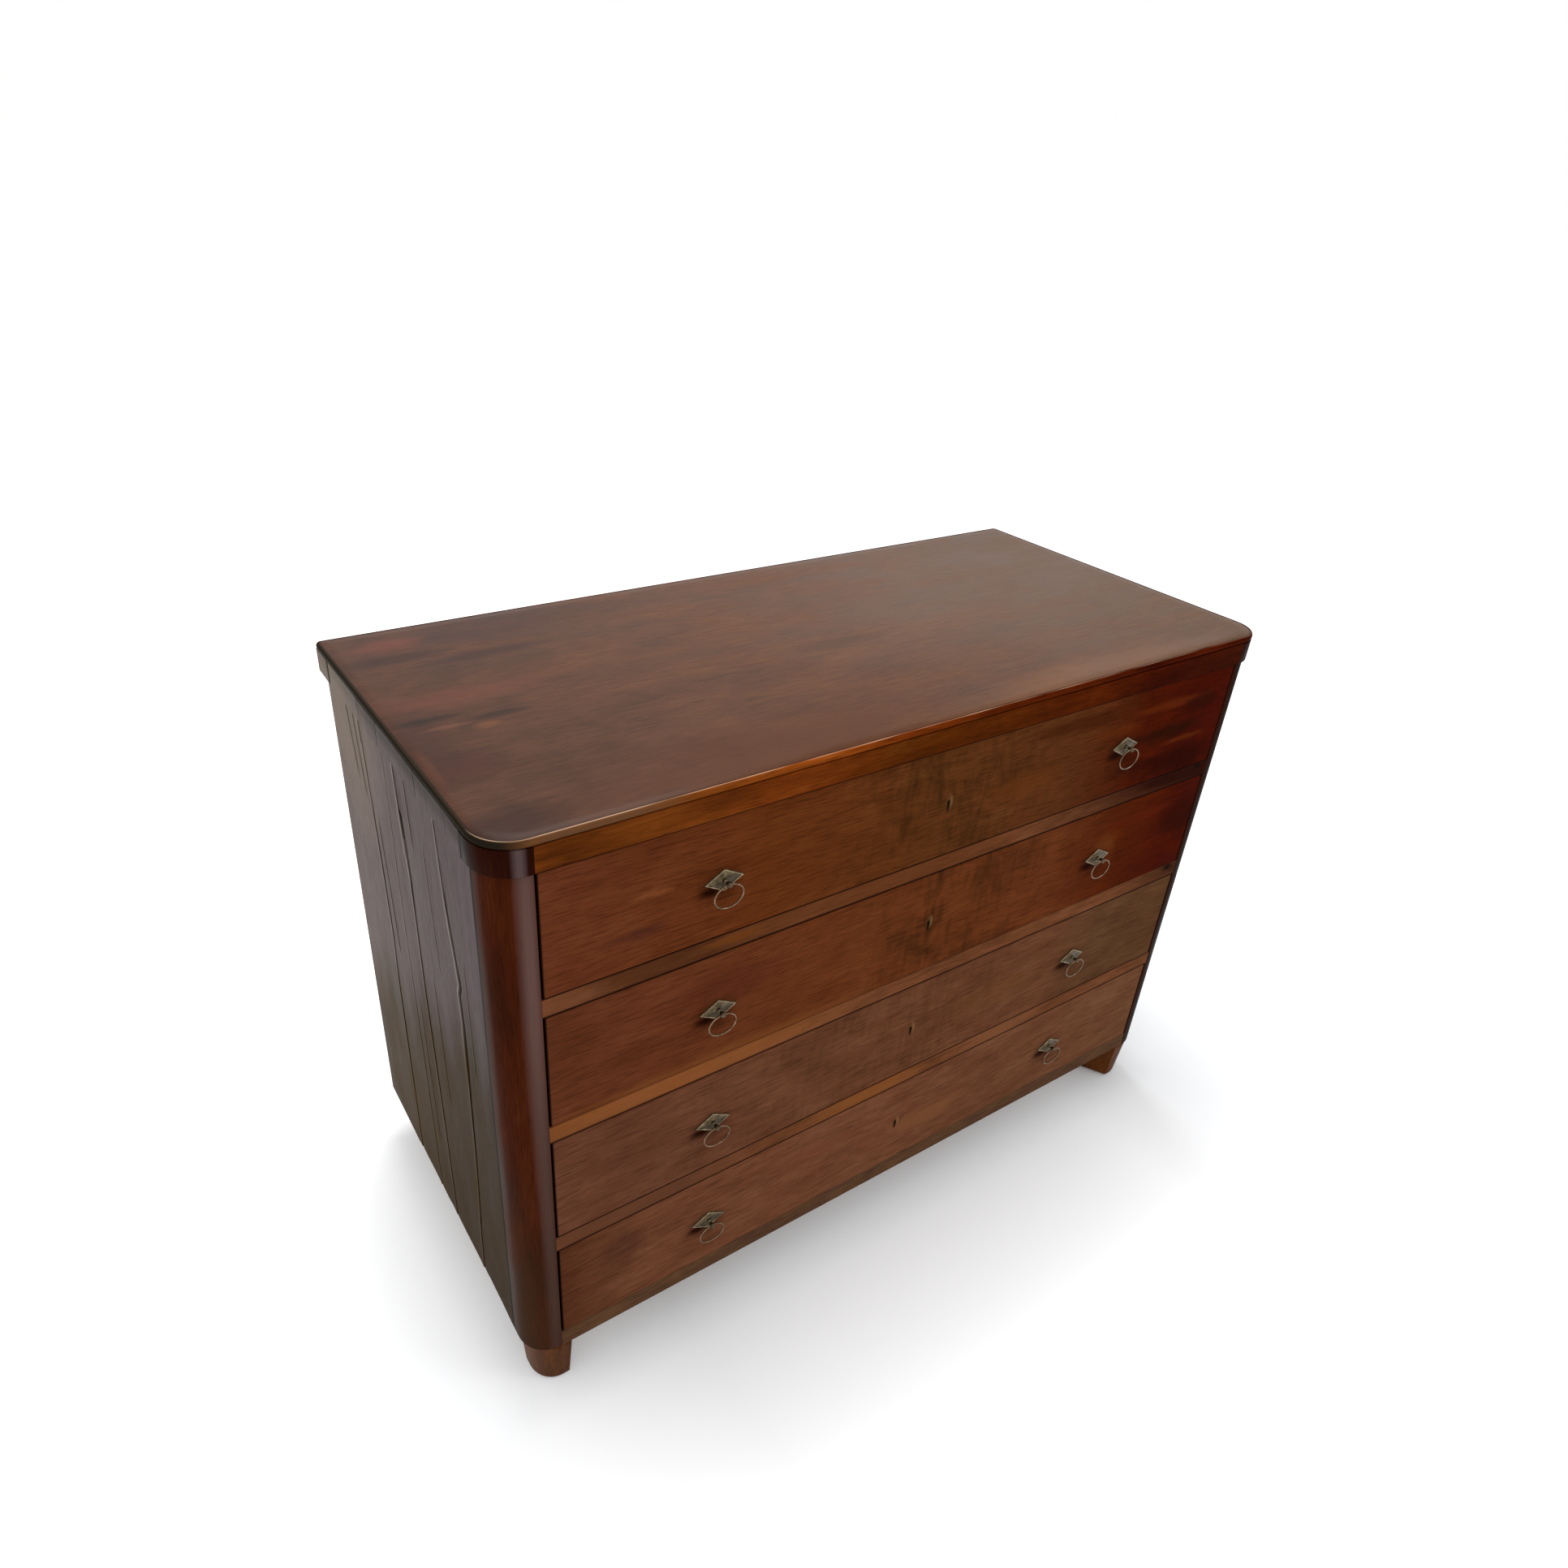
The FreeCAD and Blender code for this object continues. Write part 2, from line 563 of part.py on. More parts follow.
def drawer(n):
    """One drawer with its lock, bolt and two ring pulls."""
    low, high, side_high = at(f"low_{n}"), at(f"high_{n}"), at(f"side_high_{n}")
    panel = (at(f"panel_low_{n}"), at(f"panel_high_{n}"))
    tag = f"drawer_{n}"
    through = (at("front"), at("front_back"))
    front_cuts, walls = [], []
    for side, sign in SIDES:
        tails = [dovetail(n, side, sign, k, f"{tag}_tail_{side}_{k}") for k in range(TAILS)]
        sockets = [dovetail(n, side, sign, k, f"{tag}_tail_socket_{side}_{k}") for k in range(TAILS)]
        plank = board(f"{tag}_plank_{side}", span(sign, at("drawer_inner"), at("drawer_half")),
                      (at("front_back"), at("drawer_rear")), (low, side_high))
        groove = board(f"{tag}_side_groove_{side}", span(sign, at("drawer_inner"), at("panel_half")),
                       (at("panel_front"), at("drawer_rear")), panel)
        walls.append(without(f"{tag}_side_{side}", joined(f"{tag}_tailed_{side}", [plank] + tails), groove))
        front_cuts += sockets
        shank_x = f"{'' if sign > 0 else '-'}{size('pull_offset')}"
        bore = f"{size('shank_radius')} + {size('shank_fit')}"
        front_cuts.append(rod_along_y(f"{tag}_shank_hole_{side}", bore, shank_x, through, at(f"pull_{n}")))
    groove_depth = (at("panel_front"), at("front_back"))
    front_cuts.append(board(f"{tag}_front_groove", centred(at("panel_half")), groove_depth, panel))
    front_cuts.append(lock_blank(n, f"{tag}_lock_recess", size("lock_fit")))
    front_cuts.append(keyhole(n, f"{tag}_keyhole", at("lock_front")))
    piece = board(f"{tag}_front_blank", centred(at("drawer_half")), through, (low, high))
    for k, tool in enumerate(front_cuts, start=1):
        piece = without(f"{tag}_front_{k}", piece, tool)
    node(piece, f"{tag}_front")
    node(loose(f"{tag}_sides", walls), f"{tag}_sides")
    node(board(f"{tag}_back", centred(at("drawer_inner")), (at("drawer_back_front"), at("drawer_rear")),
               (panel[1], f"{side_high} - {size('drawer_back_drop')}")), f"{tag}_back")
    panel_depth = (at("panel_front"), at("drawer_rear"))
    node(board(f"{tag}_bottom", centred(at("panel_half")), panel_depth, panel), f"{tag}_bottom")
    fit = size("bolt_fit")
    channel = board(f"{tag}_bolt_channel", centred(f"({at('bolt_half')} + {fit})"),
                    (f"{at('bolt_front')} - {fit}", f"{at('bolt_back')} + {fit}"),
                    (f"{at(f'bolt_low_{n}')} - {fit}", high))
    key_cut = keyhole(n, f"{tag}_key_cut", f"{at('lock_front')} + {size('key_depth_in_lock')}")
    lock = without(f"{tag}_lock_cut", lock_blank(n, f"{tag}_lock_blank", "0"), channel)
    node(without(f"{tag}_lock", lock, key_cut), f"{tag}_lock")
    node(board(f"{tag}_lock_bolt", centred(at("bolt_half")), (at("bolt_front"), at("bolt_back")),
               (at(f"bolt_low_{n}"), at(f"bolt_high_{n}"))), f"{tag}_lock_bolt")
    plates = []
    for side, sign in SIDES:
        x = f"{'' if sign > 0 else '-'}{size('pull_offset')}"
        plates.append(pull_plate(f"{tag}_pull_{side}", x, at(f"pull_{n}")))
        node(pull_ring(f"{tag}_ring_{side}", x, at(f"pull_{n}")), f"{tag}_ring_{side}")
    node(loose(f"{tag}_pull_plates", plates), f"{tag}_pull_plates")


def primitive(body, kind, name, radius, y, height=None):
    """A ball, or a rod towards the back, on the axis of a pull."""
    feature = body.newObject(kind, name)
    feature.setExpression("Radius", radius)
    if height is not None:
        feature.Placement.Rotation = FreeCAD.Rotation(FreeCAD.Vector(1, 0, 0), -90)
        feature.setExpression("Height", height)
    feature.setExpression("Placement.Base.y", y)
    return feature


def pull_plate(name, x, z):
    """A lozenge plate with its post: ball, neck and pierced head in front, shank and rivet washer behind."""
    body = doc.addObject("PartDesign::Body", name)
    half_width, half_height = f"{size('plate_width')} / 2", f"{size('plate_height')} / 2"
    corners = [(half_width, "0"), ("0", half_height), (f"-{half_width}", "0"), ("0", f"-{half_height}")]
    pad(body, f"{name}_plate", outline(body, f"{name}_lozenge", "XZ_Plane", corners), size("plate_thickness"))
    face = -value(size("plate_thickness"))
    dress(body, "PartDesign::Chamfer", f"{name}_bevel", "Size", size("plate_bevel"),
          lambda edge: all_points(edge, lambda point: close(point.y, face)))
    ball, rod, inside = "PartDesign::AdditiveSphere", "PartDesign::AdditiveCylinder", size("front_thickness")
    primitive(body, rod, f"{name}_neck", size("neck_radius"), f"-{size('ring_reach')}", size("ring_reach"))
    primitive(body, ball, f"{name}_ball", size("ball_radius"), f"-{size('ball_reach')}")
    primitive(body, ball, f"{name}_head", size("head_radius"), f"-{size('ring_reach')}")
    primitive(body, rod, f"{name}_shank", size("shank_radius"), "0", inside)
    primitive(body, rod, f"{name}_washer", size("rivet_radius"), inside, size("rivet_thickness"))
    eye = body.newObject("PartDesign::SubtractiveCylinder", f"{name}_eye")
    eye.Placement.Rotation = FreeCAD.Rotation(FreeCAD.Vector(0, 1, 0), 90)
    eye.setExpression("Radius", size("eye_radius"))
    eye.setExpression("Height", f"2 * {size('head_radius')}")
    eye.setExpression("Placement.Base.x", f"-{size('head_radius')}")
    eye.setExpression("Placement.Base.y", f"-{size('ring_reach')}")
    move(body, x, at("front"), z)
    return body


def pull_ring(name, x, z):
    """An oval ring of round wire that hangs through the eye of a pull, in an upright plane."""
    path = doc.addObject("Part::Ellipse", f"{name}_path")
    path.Placement.Rotation = FreeCAD.Rotation(FreeCAD.Vector(1, 0, 0), 90)
    path.setExpression("MajorRadius", size("ring_half_width"))
    path.setExpression("MinorRadius", size("ring_half_height"))
    plane, middle = f"{at('front')} - {size('ring_reach')}", f"{z} - {size('ring_half_height')}"
    move(path, x, plane, middle)
    wire = doc.addObject("Part::Circle", f"{name}_wire")
    wire.setExpression("Radius", size("wire_radius"))
    move(wire, f"{x} + {size('ring_half_width')}", plane, middle)
    ring = doc.addObject("Part::Sweep", name)
    ring.Sections = [wire]
    ring.Spine = (path, ["Edge1"])
    ring.Solid = True
    return ring


# ---------------------------------------------------------------- build
top_board()
frieze()
posts_and_sides()
back_and_bottom()
rails()
runners()
for foot_side, foot_sign in SIDES:
    front_foot(foot_side, foot_sign)
rear_feet()
for drawer_number in range(1, DRAWERS + 1):
    drawer(drawer_number)
doc.recompute()

for item in doc.Objects:
    if "Invalid" in item.State or "Error" in item.State:
        raise RuntimeError(f"{item.Name} did not build: {item.State}")
for piece in nodes:
    if piece.Shape.isNull() or not piece.Shape.isValid() or not piece.Shape.Solids:
        raise RuntimeError(f"{piece.Label} has no valid solid")

os.makedirs("parts", exist_ok=True)
for piece in nodes:
    piece.Shape.exportStep(os.path.join("parts", piece.Label + ".step"))
print(len(nodes), "nodes,", sum(len(piece.Shape.Solids) for piece in nodes), "solids")
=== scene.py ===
# %% [markdown]
# # A bachelors chest, dressed in Blender
#
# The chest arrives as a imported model: every board, drawer, lock and ring already has its real size and
# place, in metres, with +Z up and the drawers facing -Y. This script only gives the pieces the surfaces
# that old polished furniture has: softened edges, open board joints, veneer, polish and aged brass.

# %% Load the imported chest
import bpy
import bmesh
import json
import math
import numpy as np
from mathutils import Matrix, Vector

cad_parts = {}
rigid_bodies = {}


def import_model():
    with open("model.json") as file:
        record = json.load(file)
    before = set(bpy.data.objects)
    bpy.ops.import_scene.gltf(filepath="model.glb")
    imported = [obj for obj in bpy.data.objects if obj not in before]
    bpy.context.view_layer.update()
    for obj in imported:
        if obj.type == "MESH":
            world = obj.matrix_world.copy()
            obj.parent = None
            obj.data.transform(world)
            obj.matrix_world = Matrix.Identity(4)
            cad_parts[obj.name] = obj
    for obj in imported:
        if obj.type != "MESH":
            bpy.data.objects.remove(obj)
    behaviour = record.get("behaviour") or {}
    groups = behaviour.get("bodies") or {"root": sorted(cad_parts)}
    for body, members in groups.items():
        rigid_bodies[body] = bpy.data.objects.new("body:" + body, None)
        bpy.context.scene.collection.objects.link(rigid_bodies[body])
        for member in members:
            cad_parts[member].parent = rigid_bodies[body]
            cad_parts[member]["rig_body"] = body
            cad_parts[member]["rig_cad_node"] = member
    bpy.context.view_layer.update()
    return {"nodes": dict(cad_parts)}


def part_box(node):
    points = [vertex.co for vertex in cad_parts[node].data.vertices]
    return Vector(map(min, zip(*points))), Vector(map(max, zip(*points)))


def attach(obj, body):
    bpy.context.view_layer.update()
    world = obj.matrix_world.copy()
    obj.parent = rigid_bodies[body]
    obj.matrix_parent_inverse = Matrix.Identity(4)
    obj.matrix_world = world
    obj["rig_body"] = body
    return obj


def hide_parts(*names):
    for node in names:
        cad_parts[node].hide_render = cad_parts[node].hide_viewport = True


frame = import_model()

# %% [markdown]
# ## Planes that the pieces share
#
# A cabinet maker marks out from a few planes: the front face, the sides and the underside of the case.
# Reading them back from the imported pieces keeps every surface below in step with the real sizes.

# %% Planes of the case
MM = 0.001
DRAWERS = (1, 2, 3, 4)
SIDES = (("left", -1), ("right", 1))

post_low, post_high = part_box("corner_post_right")
FRONT, POST_BACK = post_low.y, post_high.y
CASE_HALF, CASE_LOW = post_high.x, post_low.z
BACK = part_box("side_boards_right")[1].y
print("front", round(FRONT, 4), "back", round(BACK, 4), "underside of the case", round(CASE_LOW, 4))

# %% [markdown]
# ## Camera
#
# The chest is seen by someone standing close to its left front corner and looking down at it, through a
# wide lens. A wide lens close up makes upright edges lean together, so the camera's tilt and its small roll
# are set as numbers. The frame is off centre by a small shift of the lens.

# %% Camera
camera = bpy.data.objects.new("camera", bpy.data.cameras.new("camera"))
camera.location = (-0.8400, -1.0339, 1.3581)
camera.rotation_euler = [math.radians(angle) for angle in (59.236, -2.905, -33.544)]
camera.data.lens, camera.data.sensor_width = 24.943, 36
camera.data.shift_x, camera.data.shift_y = 0.02302, 0.01252
bpy.context.scene.collection.objects.link(camera)
bpy.context.scene.camera = camera
bpy.context.scene.view_settings.view_transform = "Standard"
print("camera stands", round(camera.location.length, 2), "m from the middle of the floor under the chest")

# %% [markdown]
# ## Nodes for the finishes
#
# Every finish is a small network of nodes. One function adds a node, sets it, joins it up and hands back
# the socket that the next node reads. A Map Range takes the value, the span it comes from and the span it
# goes to, in that order. Colours are written as screen hex values, which are bent for the eye, so they are
# straightened to linear light first.

# %% Colours and nodes
def linear(code):
    """sRGB to linear light: c / 12.92 below 0.04045, else ((c + 0.055) / 1.055) to the power 2.4."""
    values = np.array([int(code[k:k + 2], 16) for k in (1, 3, 5)]) / 255
    values = np.where(values < 0.04045, values / 12.92, ((values + 0.055) / 1.055) ** 2.4)
    return (*values.tolist(), 1.0)


def add(tree, kind, inputs=(), stops=None, out=0, **settings):
    """Adds the node ShaderNode + kind and gives its output socket out. Inputs are values or sockets, in order
    or by name or number; settings are the node's properties; stops are a ramp's colours by their place."""
    node = tree.nodes.new("ShaderNode" + kind)
    for key, value in settings.items():
        setattr(node, key, value)
    for key, value in inputs.items() if isinstance(inputs, dict) else enumerate(inputs):
        if isinstance(value, bpy.types.NodeSocket):
            tree.links.new(value, node.inputs[key])
        else:
            node.inputs[key].default_value = linear(value) if isinstance(value, str) else value
    if stops:
        ramp = node.color_ramp.elements
        while len(ramp) < len(stops):
            ramp.new(0.5)
        for stop, (place, code) in zip(ramp, stops.items()):
            stop.position, stop.color = place, linear(code)
    return node.outputs[out]


def start_material(name, **finish):
    """A new material with its shader set: the numbers in finish go straight on the shader's own sockets."""
    material = bpy.data.materials.new(name)
    material.use_nodes = True
    shader = material.node_tree.nodes["Principled BSDF"]
    for key, value in finish.items():
        shader.inputs[key.replace("_", " ")].default_value = value
    return material, material.node_tree, shader


def end_material(tree, shader, tone, rough, height, strength, distance):
    """Joins colour, roughness and relief to the shader; relief tilts the normal by the slope of height."""
    bump = add(tree, "Bump", {"Height": height, "Strength": strength, "Distance": distance})
    for key, socket in (("Base Color", tone), ("Roughness", rough), ("Normal", bump)):
        tree.links.new(socket, shader.inputs[key])


print("middle grey #808080 is", round(linear("#808080")[0], 3), "in linear light")

# %% [markdown]
# ## Polished wood
#
# The chest is pine inside and thin mahogany veneer outside, rubbed with shellac for many years. Up close
# the eye sees four things: long soft streaks of grain 3 to 9 mm wide, short dark pores that lie along the
# grain, clouds where stain has gathered, and, where the figure is curly, short bars across the grain. A
# pore is about 0.2 mm wide, which is too fine to show from a metre away, so it is drawn about 1 mm wide.
# The pattern reads Object coordinates, in metres, so it stays fixed in each piece.

# %% One function for every wood
PORE, CURL = (1.1, 26), (38, 9)     # mm across the grain and mm along it


def polished_wood(name, tones, grain="x", streak_mm=3, shift=(0, 0, 0), roughness=0.36, gloss=0.002,
                  clouds=None, bars=0.0, tints=None, tint_along="X", tint_span=(-0.53, 0.53), relief=0.12,
                  pore_depth=0.36, stretch=20):
    """Streaks run from dark to light tones, and pores multiply them. Clouds are greys that say where a stain
    gathers, with a share of bars in its noise. Tints multiply the whole by the place along tint_span."""
    material, tree, shader = start_material(name, Specular_IOR_Level=gloss)
    place = add(tree, "TexCoord", out="Object")
    moved = add(tree, "Mapping", {"Vector": place, "Location": shift})

    def stretched(across_mm, along_mm):
        cells_per_metre = [1000 / (along_mm if axis == grain else across_mm) for axis in "xyz"]
        return add(tree, "Mapping", {"Vector": moved, "Scale": cells_per_metre})

    fibres = stretched(streak_mm, streak_mm * stretch)
    sheets = stretched(streak_mm * 9, streak_mm * 26)
    streaks = add(tree, "TexNoise", {
        "Vector": fibres, "Scale": 1.0, "Detail": 8.0, "Roughness": 0.66, "Distortion": 0.15})
    broad = add(tree, "TexNoise", {
        "Vector": sheets, "Scale": 1.0, "Detail": 3.0, "Roughness": 0.5, "Distortion": 0.3})
    mixed = add(tree, "Mix", {0: 0.6, 2: streaks, 3: broad}, data_type="FLOAT")
    tone = add(tree, "ValToRGB", (mixed,), stops=dict(zip((0.26, 0.43, 0.56, 0.74), tones.split())))
    pores = add(tree, "TexNoise", {"Vector": stretched(*PORE), "Scale": 1.0, "Detail": 2.0})
    pore_mask = add(tree, "MapRange", (pores, 0.36, 0.5, 1 - pore_depth, 1.0))
    tone = add(tree, "Mix", {0: 1.0, 6: tone, 7: pore_mask}, out=2, data_type="RGBA", blend_type="MULTIPLY")

    along = add(tree, "SeparateXYZ", (place,), out=tint_along)
    spot = add(tree, "MapRange", (along, *tint_span))
    if clouds:
        drift = add(tree, "TexNoise", {
            "Vector": moved, "Scale": 16.0, "Detail": 5.0, "Roughness": 0.6, "Distortion": 0.6})
        bar = add(tree, "TexNoise", {"Vector": stretched(*CURL), "Scale": 1.0, "Detail": 3.0})
        cloud = add(tree, "Mix", {0: bars, 2: drift, 3: bar}, data_type="FLOAT")
        cloud = add(tree, "MapRange", (cloud, 0.45, 0.62))
        where = add(tree, "ValToRGB", (spot,), stops={end: "#" + 3 * grey for end, grey in clouds.items()})
        depth = add(tree, "Math", (cloud, where), operation="MULTIPLY")
        tone = add(tree, "Mix", {0: depth, 6: tone, 7: "#2A180A"}, out=2, data_type="RGBA")
    if tints:
        tint = add(tree, "ValToRGB", (spot,), stops=tints)
        tone = add(tree, "Mix", {0: 1.0, 6: tone, 7: tint}, out=2, data_type="RGBA", blend_type="MULTIPLY")
    rough = add(tree, "MapRange", (broad, 0.3, 0.7, roughness - 0.06, roughness + 0.09))
    height = add(tree, "Mix", {0: 0.6, 2: streaks, 3: pores}, data_type="FLOAT")
    end_material(tree, shader, tone, rough, height, relief, 0.8 * MM)
    return material


# %% [markdown]
# ### The veneers
#
# Each sheet was cut from another part of the log, and light has worked on them differently. The upper two
# drawers turn olive in the middle and dark red at the right, the third turns olive brown there, and the
# band under the top goes from orange to dark red. Posts and corner blocks are darker than the rest. Tones
# run from the dark line of the grain to the light one; the places of clouds and tints run from the left
# end (0) to the right end (1).

# %% Mahogany on the drawer fronts
UPPER_TONES = "#5C2D19 #67351E #6E3922 #78442A"
LOWER_TONES = "#5E3726 #693F2C #714632 #7C523C"
drawer_wood = {
    1: polished_wood(
        "mahogany_veneer_drawer_1", UPPER_TONES, bars=0.35,
        tints={0.0: "#FFFFFF", 0.25: "#F6EEBC", 0.5: "#E6F6CC", 0.7: "#E2EAC8", 0.83: "#BA7A3C",
               0.93: "#B46018"},
        clouds={0.0: "30", 0.12: "60", 0.3: "38", 0.45: "C8", 0.56: "C0", 0.7: "48", 0.85: "90"}),
    2: polished_wood(
        "mahogany_veneer_drawer_2", UPPER_TONES, shift=(3.1, 0, 0.7), bars=0.3,
        tints={0.0: "#F0F6FF", 0.3: "#FFFFE6", 0.55: "#FFFFDC", 0.7: "#FAF4D4", 0.83: "#D0A45C",
               0.94: "#B06018"},
        clouds={0.0: "28", 0.38: "58", 0.5: "D0", 0.62: "B8", 0.8: "30"}),
    3: polished_wood(
        "mahogany_veneer_drawer_3", LOWER_TONES, shift=(6.2, 0, 1.9), bars=0.45,
        tints={0.0: "#FFFFFF", 0.5: "#FFFFF2", 0.74: "#FFFFF0", 0.84: "#E0F2DC", 1.0: "#DCEAC8"},
        clouds={0.0: "20", 0.35: "80", 0.46: "90", 0.58: "88", 0.75: "40"}),
    4: polished_wood(
        "mahogany_veneer_drawer_4", "#663D2A #724632 #7A4E38 #865A44", shift=(9.3, 0, 2.4),
        bars=0.3, tints={0.0: "#C0AC9C", 0.12: "#FFFAF0", 0.5: "#FFFAF0", 1.0: "#F8FFF0"},
        clouds={0.0: "20", 0.4: "40", 0.6: "58", 0.8: "40"}),
}
print("veneers of the drawers:", len(drawer_wood))

# %% Mahogany on the rails, the band, the bead, the posts and the feet
rail_wood = polished_wood("mahogany_veneer_rails", "#5E3620 #6C4026 #78482C #86563A",
                          shift=(1.7, 0, 0))
bottom_rail_wood = polished_wood("dark_mahogany_bottom_rail", "#4E3426 #5A3E2E #64462F #705038",
                                 shift=(2.9, 0, 0))
frieze_wood = polished_wood(
    "mahogany_veneer_frieze", "#4E240E #683410 #7C4014 #96602A", streak_mm=5, shift=(0.4, 0, 0.3),
    tints={0.0: "#E6E0E0", 0.12: "#FFFFFF", 0.26: "#FFE8E0", 0.42: "#C8BAA0", 0.56: "#C4B090",
           0.69: "#CFA480", 0.82: "#905A50", 1.0: "#946858"},
    clouds={0.0: "60", 0.3: "48", 0.6: "70", 1.0: "70"})
bead_wood = polished_wood(
    "mahogany_bead_of_the_top", "#652F12 #874415 #A1531A #C37D37", streak_mm=5,
    shift=(0.9, 0, 0.3),
    tints={0.0: "#B4C0CC", 0.12: "#CCD8E8", 0.26: "#FAF4E8", 0.42: "#D4BAA4", 0.54: "#8E7060",
           0.69: "#A07A66", 0.82: "#6C423C", 0.92: "#8A6050", 1.0: "#7A5448"})
post_wood = polished_wood("mahogany_veneer_posts", "#34140A #3F1A0B #491E0C #582A16", grain="z",
                          streak_mm=5, gloss=0.005, roughness=0.34)
foot_wood = polished_wood("polished_beech_feet", "#44200C #583010 #683A18 #7A4A26", grain="z",
                          streak_mm=5, gloss=0.03)
edge_wood = polished_wood("worn_veneer_edges", "#8A6A50 #A08066 #B0907A #C4A890", roughness=0.5)
ebonised = polished_wood("ebonised_corner_blocks", "#180602 #220A04 #2C0E06 #3A180C", grain="z",
                         streak_mm=4, gloss=0.008, roughness=0.34)
# Dark wax together with painted shade, for the edges and faces that lie in the gaps between parts.
gap_wood = polished_wood("dark_wax_and_painted_gap_shade", "#120906 #180D08 #1E110A #26160E", roughness=0.6)
print("outside finishes so far:", len(bpy.data.materials))

# %% [markdown]
# ### The bare woods
#
# Inside, nothing is veneered. The case is planed pine, cream with orange-brown growth lines, and the
# drawers have oak sides and bottoms. Bare wood is dull, and hands and dust have darkened it. The back is
# three boards across, and each has greyed a little differently.

# %% Pine and oak
PINE = "#7A5230 #9A7248 #AE8658 #C09C6E"
OAK = "#6E5030 #8C6A42 #A07E54 #B49468"
planed = {"roughness": 0.7, "gloss": 0.2, "relief": 0.3}
open_pored = {**planed, "roughness": 0.66, "streak_mm": 5, "pore_depth": 0.5}
back_low, back_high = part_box("back_boards")

pine = polished_wood("planed_pine", PINE, streak_mm=7, **planed)
pine_upright = polished_wood("planed_pine_upright", PINE, grain="z", streak_mm=9, **planed)
pine_back = polished_wood(
    "planed_pine_back_boards", "#6E4A2C #8C6640 #A27C52 #B49064", streak_mm=9, shift=(4.0, 0, 1.3),
    tint_along="Z", tint_span=(back_low.z, back_high.z), **planed,
    tints={0.0: "#D8CCC0", 0.325: "#E8DCCC", 0.34: "#FFF8F0", 0.66: "#FFFFFF", 0.675: "#E6D8C8",
           1.0: "#F0E4D8"})
oak = polished_wood("planed_oak", OAK, grain="y", **open_pored)
oak_across = polished_wood("planed_oak_across", OAK, **open_pored)
print("woods and veneers:", len(bpy.data.materials))

# %% [markdown]
# ## Brass and iron
#
# The pulls are cast brass that nobody has polished for years. It is dark brown on the flat of the plates,
# paler where fingers and dusters rub their rims and heads, and a warmer brown on the rings. The lock cases
# are yellower sheet brass, and the bolts are iron. A metal keeps its own high reflection, so only colour
# and roughness change. Patches of tarnish are 7 to 18 mm wide, and the pits of the casting under 1 mm.

# %% Metals
def aged_metal(name, dull, bright, roughness, patch_mm):
    """Patches of tarnish (dull) give way to rubbed spots (bright), and fine pitting gives the relief."""
    material, tree, shader = start_material(name, Metallic=1.0)
    place = add(tree, "TexCoord", out="Object")
    patches = add(tree, "TexNoise", {
        "Vector": place, "Scale": 1000 / patch_mm, "Detail": 5.0, "Roughness": 0.65})
    pits = add(tree, "TexNoise", {"Vector": place, "Scale": 1400.0, "Detail": 2.0})
    tone = add(tree, "ValToRGB", (patches,), stops={0.35: dull, 0.72: bright})
    rough = add(tree, "MapRange", (patches, 0.3, 0.7, roughness + 0.1, roughness - 0.1))
    end_material(tree, shader, tone, rough, pits, 0.08, 0.2 * MM)
    return material


pull_brass = aged_metal("aged_cast_brass", "#43382A", "#6A5C44", 0.42, patch_mm=7)
rubbed_brass = aged_metal("rubbed_cast_brass", "#6E6048", "#AE9C7E", 0.34, patch_mm=7)
ring_brass = aged_metal("handled_brass_wire", "#544232", "#8A7058", 0.36, patch_mm=9)
lock_brass = aged_metal("dull_sheet_brass", "#6E5A30", "#A08850", 0.4, patch_mm=18)
lock_iron = aged_metal("dull_iron", "#3A3634", "#6A6664", 0.5, patch_mm=8)
print("woods and metals:", len(bpy.data.materials))

# %% [markdown]
# ### Marks of age
#
# No board is even. Each mark is a soft round or long spot at its own place: the distance to a point is
# turned into a share between 0 and 1, roughened with noise, and a colour is mixed in by that share, over
# the marks before it. With one radius of several metres a mark is a line from end to end, and with hardly
# any noise the line is crisp, as a shadow gap between two boards is.

# %% Marks and bands of colour
LONG, CRISP = 9.0, 0.02


def lay_over(material, share, code, blend="MIX"):
    """Mixes or multiplies a colour into the base colour by a share between 0 and 1."""
    tree = material.node_tree
    base = tree.nodes["Principled BSDF"].inputs["Base Color"]
    after = add(tree, "Mix", {0: share, 6: base.links[0].from_socket, 7: code}, out=2, data_type="RGBA",
                blend_type=blend)
    tree.links.new(after, base)


def mark(material, centre, radii, code, strength, roughness=0.5):
    """A soft mark: share = strength * (1 - distance in units of radii), pushed about by noise."""
    tree = material.node_tree
    place = add(tree, "TexCoord", out="Object")
    moved = [-c / r for c, r in zip(centre, radii)]
    scaled = add(tree, "Mapping", {"Vector": place, "Location": moved, "Scale": [1 / r for r in radii]})
    far = add(tree, "VectorMath", (scaled,), out="Value", operation="LENGTH")
    rough = add(tree, "TexNoise", {"Vector": scaled, "Scale": 1.6, "Detail": 5.0, "Roughness": 0.65})
    edge = add(tree, "Math", (rough, roughness * 2, far), operation="MULTIPLY_ADD")
    share = add(tree, "MapRange", (edge, roughness * 1.3 + 0.2, roughness + 1.0, strength, 0.0))
    lay_over(material, share, code)


def front_marks(material, rows, roughness=0.5, deep=0.05):
    """Marks on the front face: each row is x, z, two radii, colour, strength and, where given, roughness."""
    for x, z, wide, high, code, strength, *own in rows:
        mark(material, (x, FRONT, z), (wide, deep, high), code, strength, *(own or [roughness]))


def edge_band(material, attribute, code, strength, blend="MIX"):
    """Colours a surface by a number that is kept on its points."""
    tree = material.node_tree
    kept = add(tree, "Attribute", out="Fac", attribute_name=attribute)
    share = add(tree, "Math", (kept, strength), operation="MULTIPLY")
    lay_over(material, share, code, blend)


print("a line reaches", LONG, "m each way")

